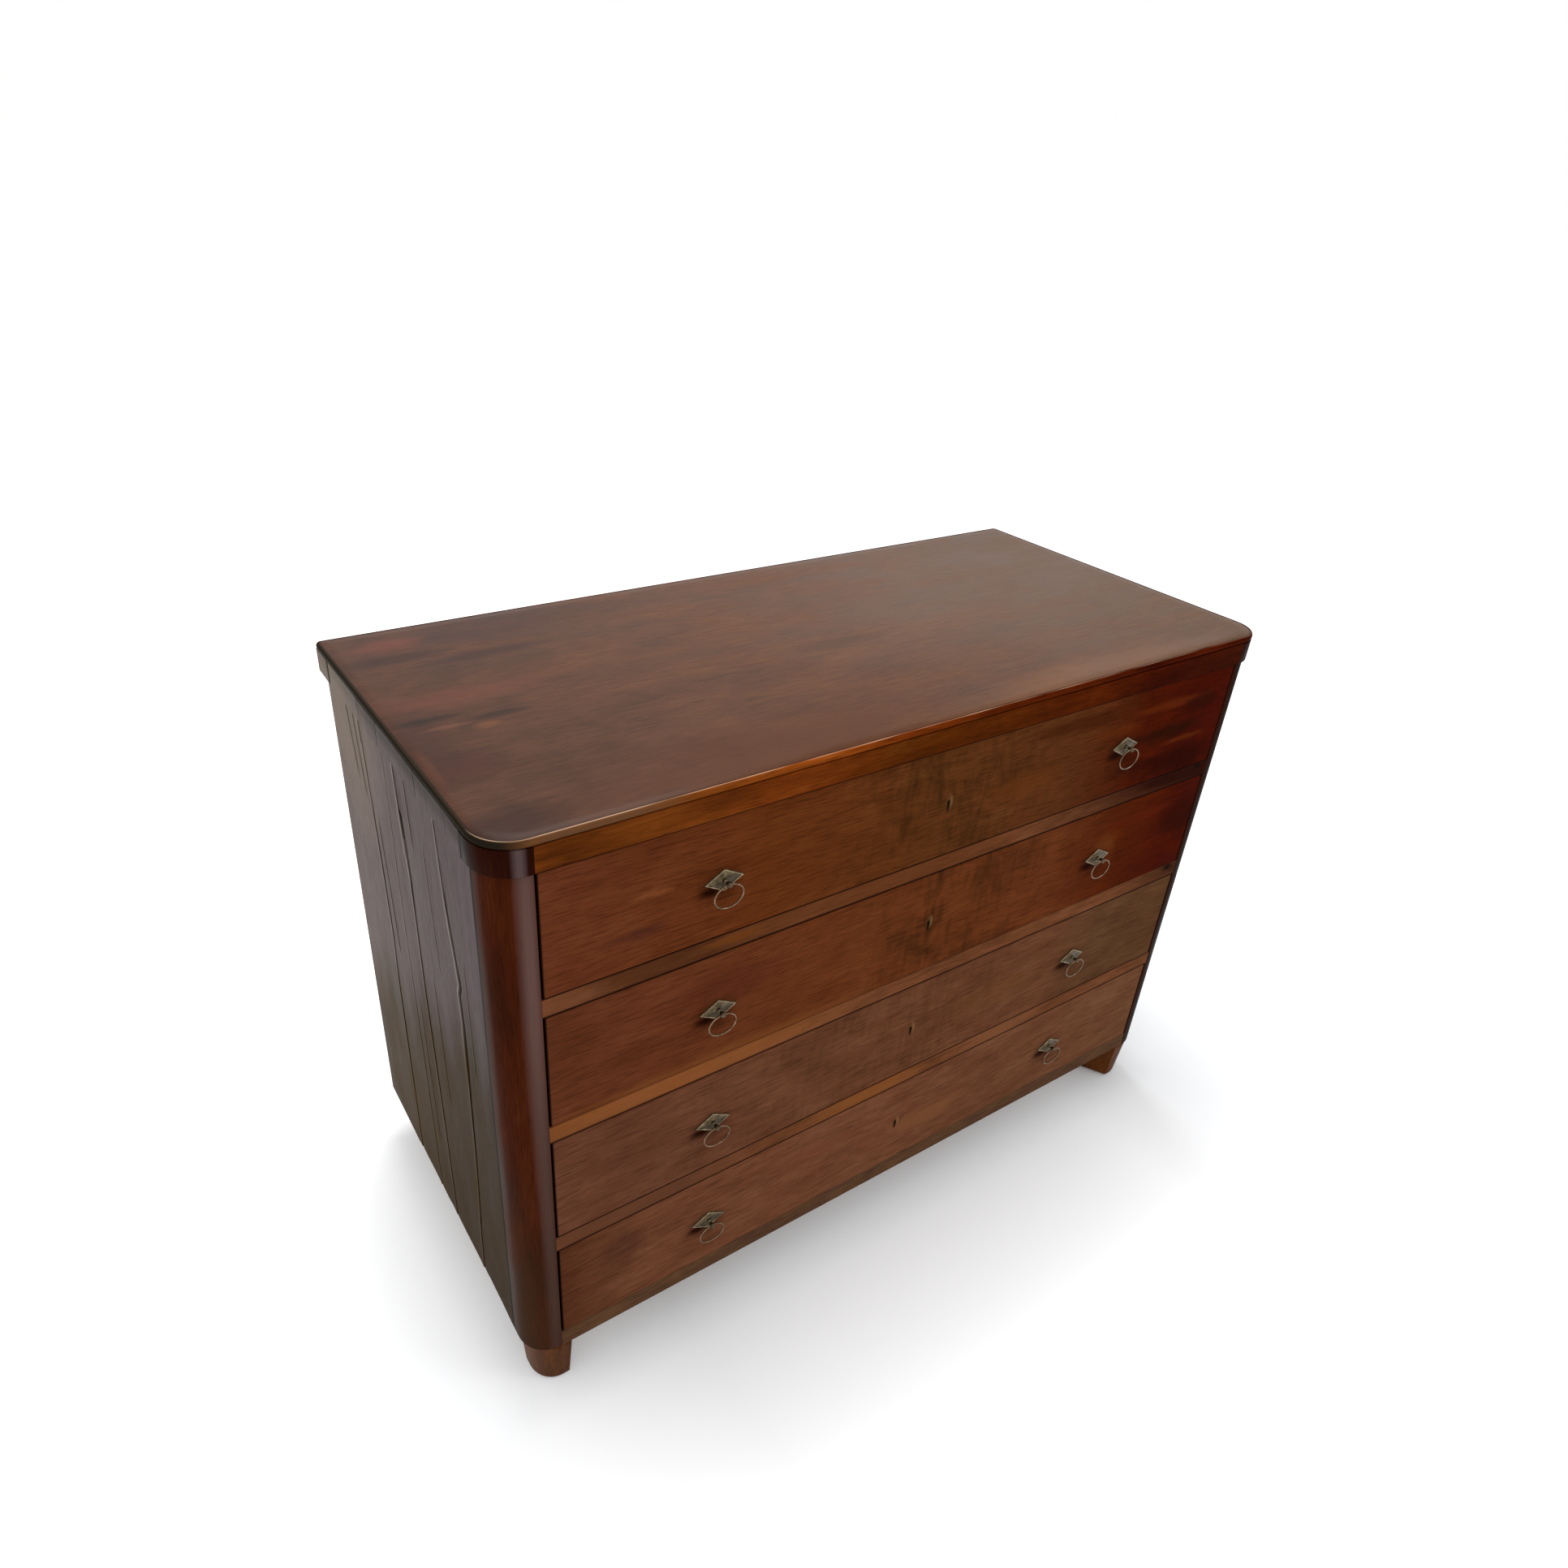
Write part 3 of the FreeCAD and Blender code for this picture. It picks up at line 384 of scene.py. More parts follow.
# %% [markdown]
# ## Small tools
#
# Every shape below is a grid of points worked out in one go with numpy. `quads` joins neighbouring grid
# points into faces, and `add_piece` turns the result into a mesh, closes its seams, points its faces
# outwards and hangs it on the body that it moves with.

# %% Grids into pieces
MERGE, ON_PLANE = 1e-6, 1e-5        # metres: points this near are one point, or lie on one plane


def quads(rows, columns, wrap=False):
    """Faces of a grid: point (i, j) joins (i+1, j), (i+1, j+1) and (i, j+1); wrap closes the columns."""
    i = np.arange(rows - 1)[:, None]
    j = np.arange(columns if wrap else columns - 1)[None, :]
    ahead = (j + 1) % columns
    corners = (i * columns + j, i * columns + ahead, (i + 1) * columns + ahead, (i + 1) * columns + j)
    return np.stack(np.broadcast_arrays(*corners), -1).reshape(-1, 4)


def joined(parts):
    """Points and faces of several parts as one: each part's faces count on from the points before it."""
    points = [np.asarray(part).reshape(-1, 3) for part, _ in parts]
    first = np.cumsum([0] + [len(part) for part in points])
    return np.concatenate(points), np.concatenate([faces + start for (_, faces), start in zip(parts, first)])


def read(rows, key, kind, width=1):
    """One named value, width numbers long, of all the points, corners or faces of a mesh."""
    values = np.empty(len(rows) * width, kind)
    rows.foreach_get(key, values)
    return values


def dress(piece, body, nodes, slot, *materials):
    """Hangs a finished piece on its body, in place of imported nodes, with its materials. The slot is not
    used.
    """
    piece.data.materials.clear()
    for material in materials:
        piece.data.materials.append(material)
    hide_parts(*nodes)
    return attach(piece, body)


def add_piece(name, points, faces, body, nodes, slot, material, sharp_degrees=None, values=None):
    """A smooth mesh whose doubled points are merged and whose edges are sharp above the given angle; values
    are named numbers kept on its points for the material to read."""
    mesh = bpy.data.meshes.new(name)
    mesh.from_pydata(points.reshape(-1, 3).tolist(), [], faces.tolist())
    for key, value in (values or {}).items():
        kept = mesh.attributes.new(key, "FLOAT", "POINT").data
        kept.foreach_set("value", np.ravel(value).astype(np.float32))
    work = bmesh.new()
    work.from_mesh(mesh)
    bmesh.ops.remove_doubles(work, verts=work.verts, dist=MERGE)
    bmesh.ops.recalc_face_normals(work, faces=work.faces)
    work.to_mesh(mesh)
    work.free()
    mesh.shade_smooth()
    if sharp_degrees is not None:
        mesh.set_sharp_from_angle(angle=math.radians(sharp_degrees))
    piece = bpy.data.objects.new(name, mesh)
    bpy.context.scene.collection.objects.link(piece)
    return dress(piece, body, nodes, slot, material)


# %% [markdown]
# ### A profile carried round an outline
#
# The top, the corner blocks and the corner posts are all one idea: an outline with rounded corners, and a
# profile of steps inwards and upwards that is carried round it, the way a moulding plane runs round the
# edge of a table. The two ends close on a line or a point in the middle.

# %% Outlines and carried profiles
def rounded_outline(corners, radii, steps, spacing):
    """Corners in counter-clockwise order: the arc of radius r at each touches both sides. Gives points, at
    most spacing apart on the straight runs, and their outward normals."""
    corners = np.array(corners, float)
    arcs, normals = [], []
    for k, corner in enumerate(corners):
        into, out = corner - corners[k - 1], corners[(k + 1) % len(corners)] - corner
        into, out = into / np.linalg.norm(into), out / np.linalg.norm(out)
        turn = math.atan2(into[0] * out[1] - into[1] * out[0], into @ out)
        first = math.atan2(-into[0], into[1])
        angles = first + turn * np.linspace(0, 1, steps + 1)
        away = np.stack([np.cos(angles), np.sin(angles)], 1)
        centre = corner - into * radii[k] * math.tan(turn / 2) - away[0] * radii[k]
        arcs.append(centre + radii[k] * away)
        normals.append(away)
    points, outward = [], []
    for k, arc in enumerate(arcs):
        start, end = arc[-1], arcs[(k + 1) % len(arcs)][0]
        count = max(1, math.ceil(np.linalg.norm(end - start) / spacing))
        share = np.arange(1, count)[:, None] / count
        points += [arc, start + share * (end - start)]
        outward += [normals[k], np.repeat(normals[k][-1:], count - 1, axis=0)]
    return np.concatenate(points), np.concatenate(outward)


def carried(points, normals, profile, spine, cap_rows=1):
    """Row k is outline - inset_k * normal at height_k; the end rows shrink in equal steps to the nearest
    point of the spine, a line from left to right."""
    profile = np.array(profile, float)
    rings = points[None] - profile[:, 0, None, None] * normals[None]
    rings = np.concatenate([rings, np.broadcast_to(profile[:, 1, None, None], rings.shape[:2] + (1,))], 2)
    middle_x = np.clip(points[:, 0], spine[0][0], spine[1][0])
    middle = np.column_stack([middle_x, np.full(len(points), spine[0][1])])
    share = np.linspace(0, 1, cap_rows + 1)[1:, None, None]
    caps = []
    for ring in (rings[0], rings[-1]):
        goal = np.column_stack([middle, ring[:, 2]])
        caps.append(ring[None] + share * (goal - ring)[None])
    grid = np.concatenate([caps[0][::-1], rings, caps[1]])
    return grid, quads(*grid.shape[:2], wrap=True)


def plan_corners(low, high):
    """The four corners of a box seen from above, counter-clockwise from the left front one."""
    return [(low.x, low.y), (high.x, low.y), (high.x, high.y), (low.x, high.y)]


def add_corner_piece(node, sign, big, small, steps, slot, material):
    """An upright block: its outer front corner is an arc of radius big, and its other edges are eased by
    quarter circles of radius small, inset = r (1 - sin t) and rise = r (1 - cos t)."""
    low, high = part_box(node)
    radii = [small] * 4
    radii[0 if sign < 0 else 1] = big
    line, out = rounded_outline(plan_corners(low, high), radii, steps, spacing=8 * MM)
    angles = np.linspace(0, math.pi / 2, 4)
    inset, rise = small * (1 - np.sin(angles)), small * (1 - np.cos(angles))
    profile = np.concatenate([np.column_stack([inset, low.z + rise]),
                              np.column_stack([inset, high.z - rise])[::-1]])
    middle = ((low.x + high.x) / 2, (low.y + high.y) / 2)
    grid, faces = carried(line, out, profile, [middle, middle])
    add_piece(f"{node}_polished", grid, faces, "carcass", [node], slot, material, sharp_degrees=50)
    return len(faces)


# %% [markdown]
# ### Boards with soft edges
#
# No edge on old furniture is sharp: planing, cleaning and years of hands take off about a millimetre. Light
# catches that rounding as a thin line. A plain block gets it as a grid whose outer rows are bent to arcs.

# %% A board with softened edges
def edge_lines(low, high, radius, steps=3):
    """Grid lines along one side of a board: close together in both rounded edges."""
    bend = radius * (1 - np.tan(np.linspace(1, 0, steps + 1) * math.pi / 4))
    flat = [low + 1.4 * radius, high - 1.4 * radius]
    return np.concatenate([low + bend, flat, (high - bend)[::-1]])


def soft_board(low, high, radius):
    """A box whose edges are arcs: point p moves to q + r (p - q) / |p - q|, where q is p held r inside."""
    low, high = np.array(low, float), np.array(high, float)
    lines = [edge_lines(low[k], high[k], radius) for k in range(3)]
    sheets = []
    for axis in range(3):
        a, b = [k for k in range(3) if k != axis]
        first, second = np.meshgrid(lines[a], lines[b], indexing="ij")
        for level in (low[axis], high[axis]):
            sheet = np.empty(first.shape + (3,))
            sheet[..., a], sheet[..., b], sheet[..., axis] = first, second, level
            sheets.append((sheet, quads(*first.shape)))
    points, faces = joined(sheets)
    held = np.clip(points, low + radius, high - radius)
    away = points - held
    reach = np.linalg.norm(away, axis=1, keepdims=True)
    return held + away * radius / np.maximum(reach, 1e-9), faces


# %% [markdown]
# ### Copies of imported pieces
#
# A drawer front carries its keyhole, its holes and its dovetails, and a rail its mortises, so their packed
# shape is kept. A copy is merged, its chosen edges are bevelled, and its faces are painted one by one.

# %% A copy with eased edges
def copy_of(node, slot, *materials, body="carcass", sharp_degrees=35, ease=0.0, picks=None, paint=None):
    """The edges that picks chooses are bevelled by ease, which numbers their faces 1 and all others 0. Then
    paint turns each face into the number of its material."""
    piece = frame["nodes"][node].copy()
    piece.data = frame["nodes"][node].data.copy()
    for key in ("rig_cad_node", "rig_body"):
        del piece[key]
    piece.parent = None
    piece.name = f"{node}_finished"
    bpy.context.scene.collection.objects.link(piece)
    work = bmesh.new()
    work.from_mesh(piece.data)
    bmesh.ops.remove_doubles(work, verts=work.verts, dist=MERGE)
    for face in work.faces:
        face.material_index = 0
    if ease:
        chosen = [edge for edge in work.edges
                  if len(edge.link_faces) == 2 and edge.calc_face_angle(0) > 0.5 and picks(edge)]
        bmesh.ops.bevel(work, geom=chosen, offset=ease, segments=3, profile=0.5, affect="EDGES", material=1)
    bmesh.ops.recalc_face_normals(work, faces=work.faces)
    round_faces = [not ease or face.material_index > 0 for face in work.faces]
    if paint:
        for face in work.faces:
            face.material_index = paint(face)
    work.to_mesh(piece.data)
    work.free()
    piece.data.polygons.foreach_set("use_smooth", round_faces)
    if not ease:
        piece.data.set_sharp_from_angle(angle=math.radians(sharp_degrees))
    return dress(piece, body, [node], slot, *materials)


def long_front_edges(node):
    """Picks the long edges that lie on the front plane of a node."""
    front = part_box(node)[0].y

    def picks(edge):
        first, second = (vertex.co for vertex in edge.verts)
        on_front = max(abs(first.y - front), abs(second.y - front)) < ON_PLANE
        return on_front and abs(first.x - second.x) > 50 * MM
    return picks


# %% [markdown]
# ## The top
#
# The top is one wide veneered board, 9 mm thick at its edge. A half-round bead runs along the edge with a
# scratched line just inside it, a quirk, which has filled with dark wax. The board has sunk by fractions of
# a millimetre here and there, and that is what makes a reflection on it look alive.

# %% Top board
TOP_RADIUS, TOP_BACK_RADIUS = 46 * MM, 7 * MM
BEAD_ROUND = 3.4 * MM
QUIRK = ((3.8, 0.5), (4.6, 0.5), (5.2, 0.1))        # mm in from the edge and mm down
CAP_ROWS = 22
top_low, top_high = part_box("top_board")
top_line, top_out = rounded_outline(plan_corners(top_low, top_high), [TOP_RADIUS] * 2 + [TOP_BACK_RADIUS] * 2,
                                    steps=12, spacing=12 * MM)
thick = top_high.z - top_low.z
angles = np.linspace(0, math.pi, 13)
bead = [(BEAD_ROUND * (1 - math.sin(a)), top_low.z + thick * (1 - math.cos(a)) / 2) for a in angles]
quirk = [(inset * MM, top_high.z - deep * MM) for inset, deep in QUIRK]
spine_half = (top_high.x - top_low.x) / 2 - (top_high.y - top_low.y) / 2
spine_y = (top_high.y + top_low.y) / 2
spine = [(-spine_half, spine_y), (spine_half, spine_y)]
top_grid, top_faces = carried(top_line, top_out, bead + quirk, spine, CAP_ROWS)
print("top board:", len(top_faces), "faces, bead", round(thick * 1000, 1), "mm high")


# %% The sunken surface and what its edge remembers
def smooth_step(share):
    """From 0 to 1 with level ends: s squared times (3 - 2 s)."""
    return share ** 2 * (3 - 2 * share)


def sunk(x, y):
    """How far the old top has sunk below the flat, up to 0.5 mm: three crossing waves 18 to 68 cm long."""
    waves = np.sin(9 * x + 2 * y + 1) + 0.7 * np.sin(21 * y - 6 * x) + 0.4 * np.sin(33 * x + 8 * y + 2)
    return 0.12 * MM * (2.1 + waves)


def rubbed_and_lit_crest(x, facing_front):
    """How light the bead's upper line is, rubbed wear with a painted highlight: patches of two crossing
    waves, filled in near the left end, strong where the edge faces the front and weaker towards the right."""
    patches = 0.5 + 0.5 * np.sin(x * 61) * np.sin(x * 23 + 1) + np.clip(-0.35 - x, 0, 0.1) * 5
    return np.clip(1.6 * facing_front, 0.05, 1) * np.clip(patches, 0, 1) * np.clip(0.75 - 0.9 * x, 0.25, 1)


flat_row = CAP_ROWS + len(bead + quirk)
from_edge = np.clip(np.linspace(0, 4, CAP_ROWS + 1)[1:, None] - 0.3, 0, 1)
dip = sunk(top_grid[flat_row:, :, 0], top_grid[flat_row:, :, 1]) * smooth_step(from_edge)
top_grid[flat_row:, :, 2] = top_high.z - 0.1 * MM - dip
bead_share, quirk_share, crest_share = np.zeros((3, *top_grid.shape[:2]))
bead_share[CAP_ROWS:CAP_ROWS + len(bead)] = 1
quirk_share[CAP_ROWS + len(bead):flat_row - 1] = 1
crest_share[CAP_ROWS + len(bead) - 2] = rubbed_and_lit_crest(top_line[:, 0], -top_out[:, 1])
left_share = bead_share * np.clip(-1.8 * top_out[:, 0], 0, 1)
print("deepest dip:", round(float(dip.max()) * 1000, 2), "mm")

# %% [markdown]
# ### The finish of the top
#
# The polish is red in patches near the left end, with short dark streaks of heartwood between them, and dark
# in the left front corner; a painted sheen makes it greyer to the right. The bead is lighter than the board,
# nearly black along the left end, and rubbed pale in patches along its upper line, which also carries a
# painted highlight.

# %% Finish of the top
top_wood = polished_wood("mahogany_veneer_top", "#4C2C1A #583520 #603B25 #6C462E", streak_mm=5,
                         stretch=24, roughness=0.33, gloss=0.08, relief=0.08,
                         tints={0.0: "#E2DEE6", 0.25: "#F6F4EC", 0.6: "#FFFFF4", 1.0: "#F0FFF6"},
                         clouds={0.0: "90", 0.15: "70", 0.4: "50", 1.0: "30"})
# The first mark is a painted sheen that greys the right back of the top.
TOP_MARKS = (        # x, y, two radii, colour and strength
    (0.36, 0.06, 0.46, 0.32, "#6A5A50", 0.3), (-0.22, -0.23, 0.30, 0.10, "#50290F", 0.6),
    (0.26, -0.245, 0.30, 0.05, "#8A6248", 0.28), (-0.33, 0.225, 0.24, 0.06, "#2A1E22", 0.4),
    (-0.505, 0.223, 0.06, 0.025, "#7A3C2A", 0.4), (-0.50, 0.178, 0.08, 0.018, "#241416", 0.6),
    (-0.40, 0.150, 0.10, 0.018, "#241416", 0.55), (-0.47, 0.050, 0.13, 0.028, "#6A3626", 0.4),
    (-0.550, -0.04, 0.035, 0.11, "#34180F", 0.5), (-0.530, 0.006, 0.050, 0.011, "#180A06", 0.65),
    (-0.455, -0.012, 0.045, 0.009, "#180A06", 0.6), (-0.515, -0.017, 0.035, 0.006, "#80503A", 0.3),
    (-0.475, -0.030, 0.020, 0.010, "#7A4A28", 0.45), (-0.525, -0.107, 0.045, 0.035, "#401810", 0.45),
    (-0.540, -0.235, 0.08, 0.045, "#2A140E", 0.6), (-0.562, -0.10, 0.008, 0.06, "#6A3A26", 0.3),
    (0.0, -0.02, 0.1, 0.02, "#3A2418", 0.35), (-0.2, 0.03, 0.12, 0.02, "#4A2E20", 0.35))
for x, y, wide, deep, code, strength in TOP_MARKS:
    mark(top_wood, (x, y, top_high.z), (wide, deep, 0.1), code, strength)
edge_band(top_wood, "quirk", "#180E08", 0.9)
mark(bead_wood, (-0.47, top_low.y, top_high.z), (0.13, 0.05, 0.05), "#6A4E38", 0.6)
edge_band(bead_wood, "left_edge", "#201F18", 0.95)
# Rubbed wear with a painted highlight along the bead's upper line.
edge_band(bead_wood, "crest", "#CDA88A", 0.95)


def second_material(piece, attribute, material):
    """Faces whose corners all keep more than one half of the attribute take the second material."""
    mesh = piece.data
    kept = read(mesh.attributes[attribute].data, "value", np.float32)
    corners = read(mesh.loops, "vertex_index", np.int32)
    mesh.materials.append(material)
    chosen = np.minimum.reduceat(kept[corners], read(mesh.polygons, "loop_start", np.int32)) > 0.5
    mesh.polygons.foreach_set("material_index", chosen.astype(np.int32))
    return int(chosen.sum())


top_board = add_piece("top_board_polished", top_grid, top_faces, "carcass", ["top_board"], "top_veneer",
                      top_wood, sharp_degrees=50, values={"bead": bead_share, "quirk": quirk_share,
                                                          "left_edge": left_share, "crest": crest_share})
print("faces of the bead:", second_material(top_board, "bead", bead_wood))

# %% [markdown]
# ## The band under the top
#
# Under the top runs a shallow band of orange mahogany, with a small quarter-round block let into each
# front corner. The blocks were blackened, so they read as a dark collar above each post; a painted reflection
# greys the part of each block that faces the side, and the left one carries a painted highlight down its
# rounded front. Painted shade lines the gap under the band.

# %% Band and corner blocks
def band_paint(face):
    """Veneer in front and on the eased edges, dark wax with painted shade under the band, bare pine inside.
    """
    return 0 if face.material_index or face.normal.y < -0.5 else 1 if face.normal.z < -0.5 else 2


band_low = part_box("frieze_front")[0]
mark(frieze_wood, (-0.550, FRONT, 0.80), (0.028, 0.05, 0.05), "#3A1408", 0.7)
# A crisp line of painted shade along the gap under the band.
mark(frieze_wood, (0, band_low.y, band_low.z), (LONG, 0.05, 2.2 * MM), "#1C0C06", 0.8, CRISP)
copy_of("frieze_front", "frieze_veneer", frieze_wood, gap_wood, pine, ease=1.4 * MM,
        picks=long_front_edges("frieze_front"), paint=band_paint)
for side, sign in SIDES:
    block_faces = add_corner_piece(f"corner_block_{side}", sign, TOP_RADIUS, 0.6 * MM, 14, "ebonised_wood",
                                   ebonised)
print("corner blocks:", block_faces, "faces each")

# %% [markdown]
# ## Corner posts and feet
#
# The front corners are rounded posts, veneered with upright grain. They are browner near the floor, with
# painted shade in the gap where they meet the side boards and a painted reflection, grey like the sides, on
# the flank that faces the side. The left one carries a painted highlight along its inner edge, and the right
# one painted shade there. Below them stand short feet that narrow towards the floor and roll under at the
# bottom, like the end of a thumb. The rear feet are plain blocks.

# %% Posts
POST_RADIUS = 39 * MM
# Painted highlights down the left post's inner edge, upper and lower, and painted shade down the right one's.
POST_HIGHLIGHT_AND_SHADE_MARKS = (
    (-0.5350, 0.66, 0.0135, 0.46, "#705650", 0.72), (-0.5330, 0.24, 0.0120, 0.40, "#523E36", 0.65),
    (0.5400, 0.43, 0.022, LONG, "#120804", 0.92))
for side, sign in SIDES:
    outer = sign * CASE_HALF
    mark(post_wood, (outer, FRONT + 0.02, 0.06), (0.05, 0.06, 0.36), "#3A2A18", 0.6, 0.2)
    # A painted reflection, grey like the sides, on the flank of each post that faces the side.
    mark(post_wood, (outer, POST_BACK, 0.43), (0.02, 0.022, 0.7), "#4A3C34", 0.7, 0.1)
    # A crisp line of painted shade in the gap between each post and the side boards.
    mark(post_wood, (outer, POST_BACK, 0.43), (0.02, 2.4 * MM, LONG), "#120C08", 0.95, CRISP)
    # A painted reflection, grey like the sides, on the part of each corner block that faces the side.
    mark(ebonised, (outer, POST_BACK, 0.80), (0.02, 0.03, 0.7), "#2E2E2A", 0.8, 0.1)
front_marks(post_wood, POST_HIGHLIGHT_AND_SHADE_MARKS, roughness=0.1, deep=0.02)
# A painted highlight down the rounded front of the left corner block.
front_marks(ebonised, ((-0.5400, 0.80, 0.0085, 0.7, "#6A5858", 0.62),), roughness=0.1, deep=0.02)
for side, sign in SIDES:
    post_faces = add_corner_piece(f"corner_post_{side}", sign, POST_RADIUS, 0.8 * MM, 16, "post_veneer",
                                  post_wood)
print("posts:", post_faces, "faces each")

# %% Feet
NARROWER = 6 * MM
NEAR, FAR = 32 * MM, 87 * MM        # a rear foot stands this far in from the back and from its side
for side, sign in SIDES:
    foot = copy_of(f"foot_front_{side}", "foot_wood", foot_wood, sharp_degrees=40)
    points = read(foot.data.vertices, "co", np.float32, width=3)
    x = points[::3]
    inner, outer = np.min(np.abs(x)), np.max(np.abs(x))
    x -= sign * NARROWER * (np.abs(x) - inner) / (outer - inner)
    foot.data.vertices.foreach_set("co", points)
rear_feet = []
for _, sign in SIDES:
    left, right = sorted(sign * (CASE_HALF - inset) for inset in (NEAR, FAR))
    rear_feet.append(soft_board((left, BACK - FAR, 0.0), (right, BACK - NEAR, CASE_LOW), 1.5 * MM))
add_piece("rear_feet_finished", *joined(rear_feet), "carcass", ["rear_feet"], "foot_wood", foot_wood)
print("front feet narrowed by", round(NARROWER * 1000), "mm on their outer side")

# %% [markdown]
# ## Side boards
#
# Each side is made of solid boards standing on end, glued edge to edge behind the post. They have shrunk
# for two centuries: joints have opened, boards have split along the grain and cupped. The sheet is a grid
# whose columns follow each crack down the side, so that a crack can wander and its walls stay clean.

# %% A sheet of boards with cracks
# Eight columns of the grid belong to a crack, from its front to its back. Their numbers are the place in half
# widths and in mm beyond that, the shares of the depth, of the dark wax with painted shade and of the painted
# highlight on the lip (the column named rubbed), and, where a strand of grain is raised instead, the shares
# of its painted shade and of its painted highlight on top.
CRACK_COLUMNS = np.array([
    (-1.0, -4.0, 0.00, 0.0, 0.0, 0.0, 0.0), (-1.0, -1.0, 0.06, 0.1, 0.0, 0.4, 0.0),
    (-1.0, 0.0, 0.30, 1.0, 0.0, 0.5, 0.0), (-0.5, 0.0, 1.00, 1.0, 0.0, 0.0, 0.5),
    (0.5, 0.0, 1.00, 1.0, 0.0, 0.0, 0.5), (1.0, 0.0, 0.10, 0.4, 0.7, 0.0, 0.3),
    (1.0, 1.8, 0.00, 0.0, 1.0, 0.0, 0.0), (1.0, 5.0, 0.00, 0.0, 0.0, 0.0, 0.0)])
COLUMN_SPACING = 9 * MM
CUPPING = np.array([0.5, 1.0, 0.8, 1.0, 0.4])      # share of the tilt for each board


def down(heights, rows):
    """A column of values at the heights, between the rows of height and value, which start at the top."""
    return np.interp(heights, [row[0] for row in rows][::-1], [row[1] for row in rows][::-1])[:, None]


def cracked_sheet(cracks, y_low, y_high, heights, joints, tilt_mm):
    """Columns follow each crack's path and step down into it; between cracks they are even. Behind a crack
    the lip stands proud and dies away as exp(-distance / 9 mm), and each board tilts inwards by the square
    of the share across it. Gives the grids of y, of depth, of dark wax with painted shade and of painted
    highlights on the lips and strands."""
    steps, extra, sink, dark, rubbed, ridge_shade, ridge_top = CRACK_COLUMNS.T
    edge = np.zeros((len(heights), 1))
    groups = [(edge + y_low, edge, edge, edge)]
    for crack in sorted(cracks, key=lambda crack: crack["path"][0][1]):
        middle, wide, depth, lip = [down(heights, crack[key]) for key in ("path", "wide", "deep", "lip")]
        raised = np.clip(-depth / (0.9 * MM), 0, 1)
        groups.append((middle + wide / 2 * steps + extra * MM, depth * sink,
                       np.clip(depth / MM - 0.4, 0, 1) * dark + raised * ridge_shade,
                       np.clip(lip / MM, 0, 1) * rubbed + raised * ridge_top))
    groups.append((edge + y_high, edge, edge, edge))
    sheets = [[grid] for grid in groups[0]]
    for before, after in zip(groups, groups[1:]):
        left, right = before[0][:, -1:], after[0][:, :1]
        count = max(1, round(float(np.mean(right - left)) / COLUMN_SPACING))
        share = np.arange(1, count)[None, :] / count
        sheets[0] += [left + share * (right - left), after[0]]
        for sheet, grid in zip(sheets[1:], after[1:]):
            sheet += [np.zeros((len(heights), count - 1)), grid]
    across, depths, darkness, lightness = [np.concatenate(sheet, 1) for sheet in sheets]
    for crack in cracks:
        behind = across - down(heights, crack["path"])
        away = np.abs(behind)
        proud = np.where(behind > 0, np.exp(-away / (9 * MM)), -0.5 * np.exp(-away / (6 * MM)))
        depths = depths - down(heights, crack["lip"]) * proud
    edges = np.array([y_low, *joints, y_high])
    board = np.clip(np.searchsorted(edges, across) - 1, 0, len(edges) - 2)
    share = (across - edges[board]) / (edges[board + 1] - edges[board])
    return across, depths + CUPPING[board] * tilt_mm * MM * share ** 2, darkness, lightness


# %% The shell of a side
def painted_reflection_zone(across, level):
    """1 below, 0 above a wavy border that falls by 45 cm for each metre to the back, soft over 17 cm: below
    it the painted reflection turns browner.
    """
    border = 0.545 - 0.45 * (across - POST_BACK)
    border = border + 0.020 * np.sin(41 * across + 1) + 0.012 * np.sin(113 * across)
    return smooth_step(np.clip((border - level) / 0.17 + 0.5, 0, 1))


def add_side(node, sign, cracks, rest_mm, tilt_mm):
    """The outer sheet, the plain inner sheet behind it and the strips that close their edges, as one shell.
    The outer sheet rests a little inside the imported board, and reaches that depth 4 cm behind the post."""
    low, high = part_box(node)
    rows = max(3, round((high.z - low.z) / (4.5 * MM)))
    heights = np.concatenate([[low.z], np.linspace(low.z + 2 * MM, high.z - 2 * MM, rows), [high.z]])
    across, depth, darkness, lightness = cracked_sheet(cracks, low.y, high.y, heights, SIDE_JOINTS, tilt_mm)
    level = np.broadcast_to(heights[:, None], across.shape)
    wave = 0.25 * MM * (1 + np.sin(across * 37 + level * 3 + sign))
    wave = wave * np.sin(math.pi * (across - low.y) / (high.y - low.y))
    start = np.clip((across - low.y) / (40 * MM), 0.2, 1)
    fall = np.maximum(rest_mm * MM * start + depth + wave, 0.05 * MM)
    outer_x, inner_x = (high.x, low.x) if sign > 0 else (low.x, high.x)
    outer = np.stack([outer_x - sign * fall, across, level], -1)
    inner = np.stack([np.full(across.shape, inner_x), across, level], -1)
    grid = np.concatenate([outer, inner[:, ::-1]], 1)
    rows, columns = grid.shape[:2]
    first = np.arange(columns // 2 - 1)
    ends = [row + np.stack([first, first + 1, columns - 2 - first, columns - 1 - first], 1)
            for row in (0, (rows - 1) * columns)]
    brown, none = painted_reflection_zone(across, level), np.zeros_like(darkness)
    sheets = {"crack": (darkness, none), "lip": (lightness, none), "brown": (brown, brown[:, ::-1])}
    add_piece(f"{node}_finished", grid, np.concatenate([quads(rows, columns, wrap=True), *ends]), "carcass",
              [node], "side_veneer", side_wood, sharp_degrees=50,
              values={key: np.concatenate(pair, 1) for key, pair in sheets.items()})
    return grid.shape


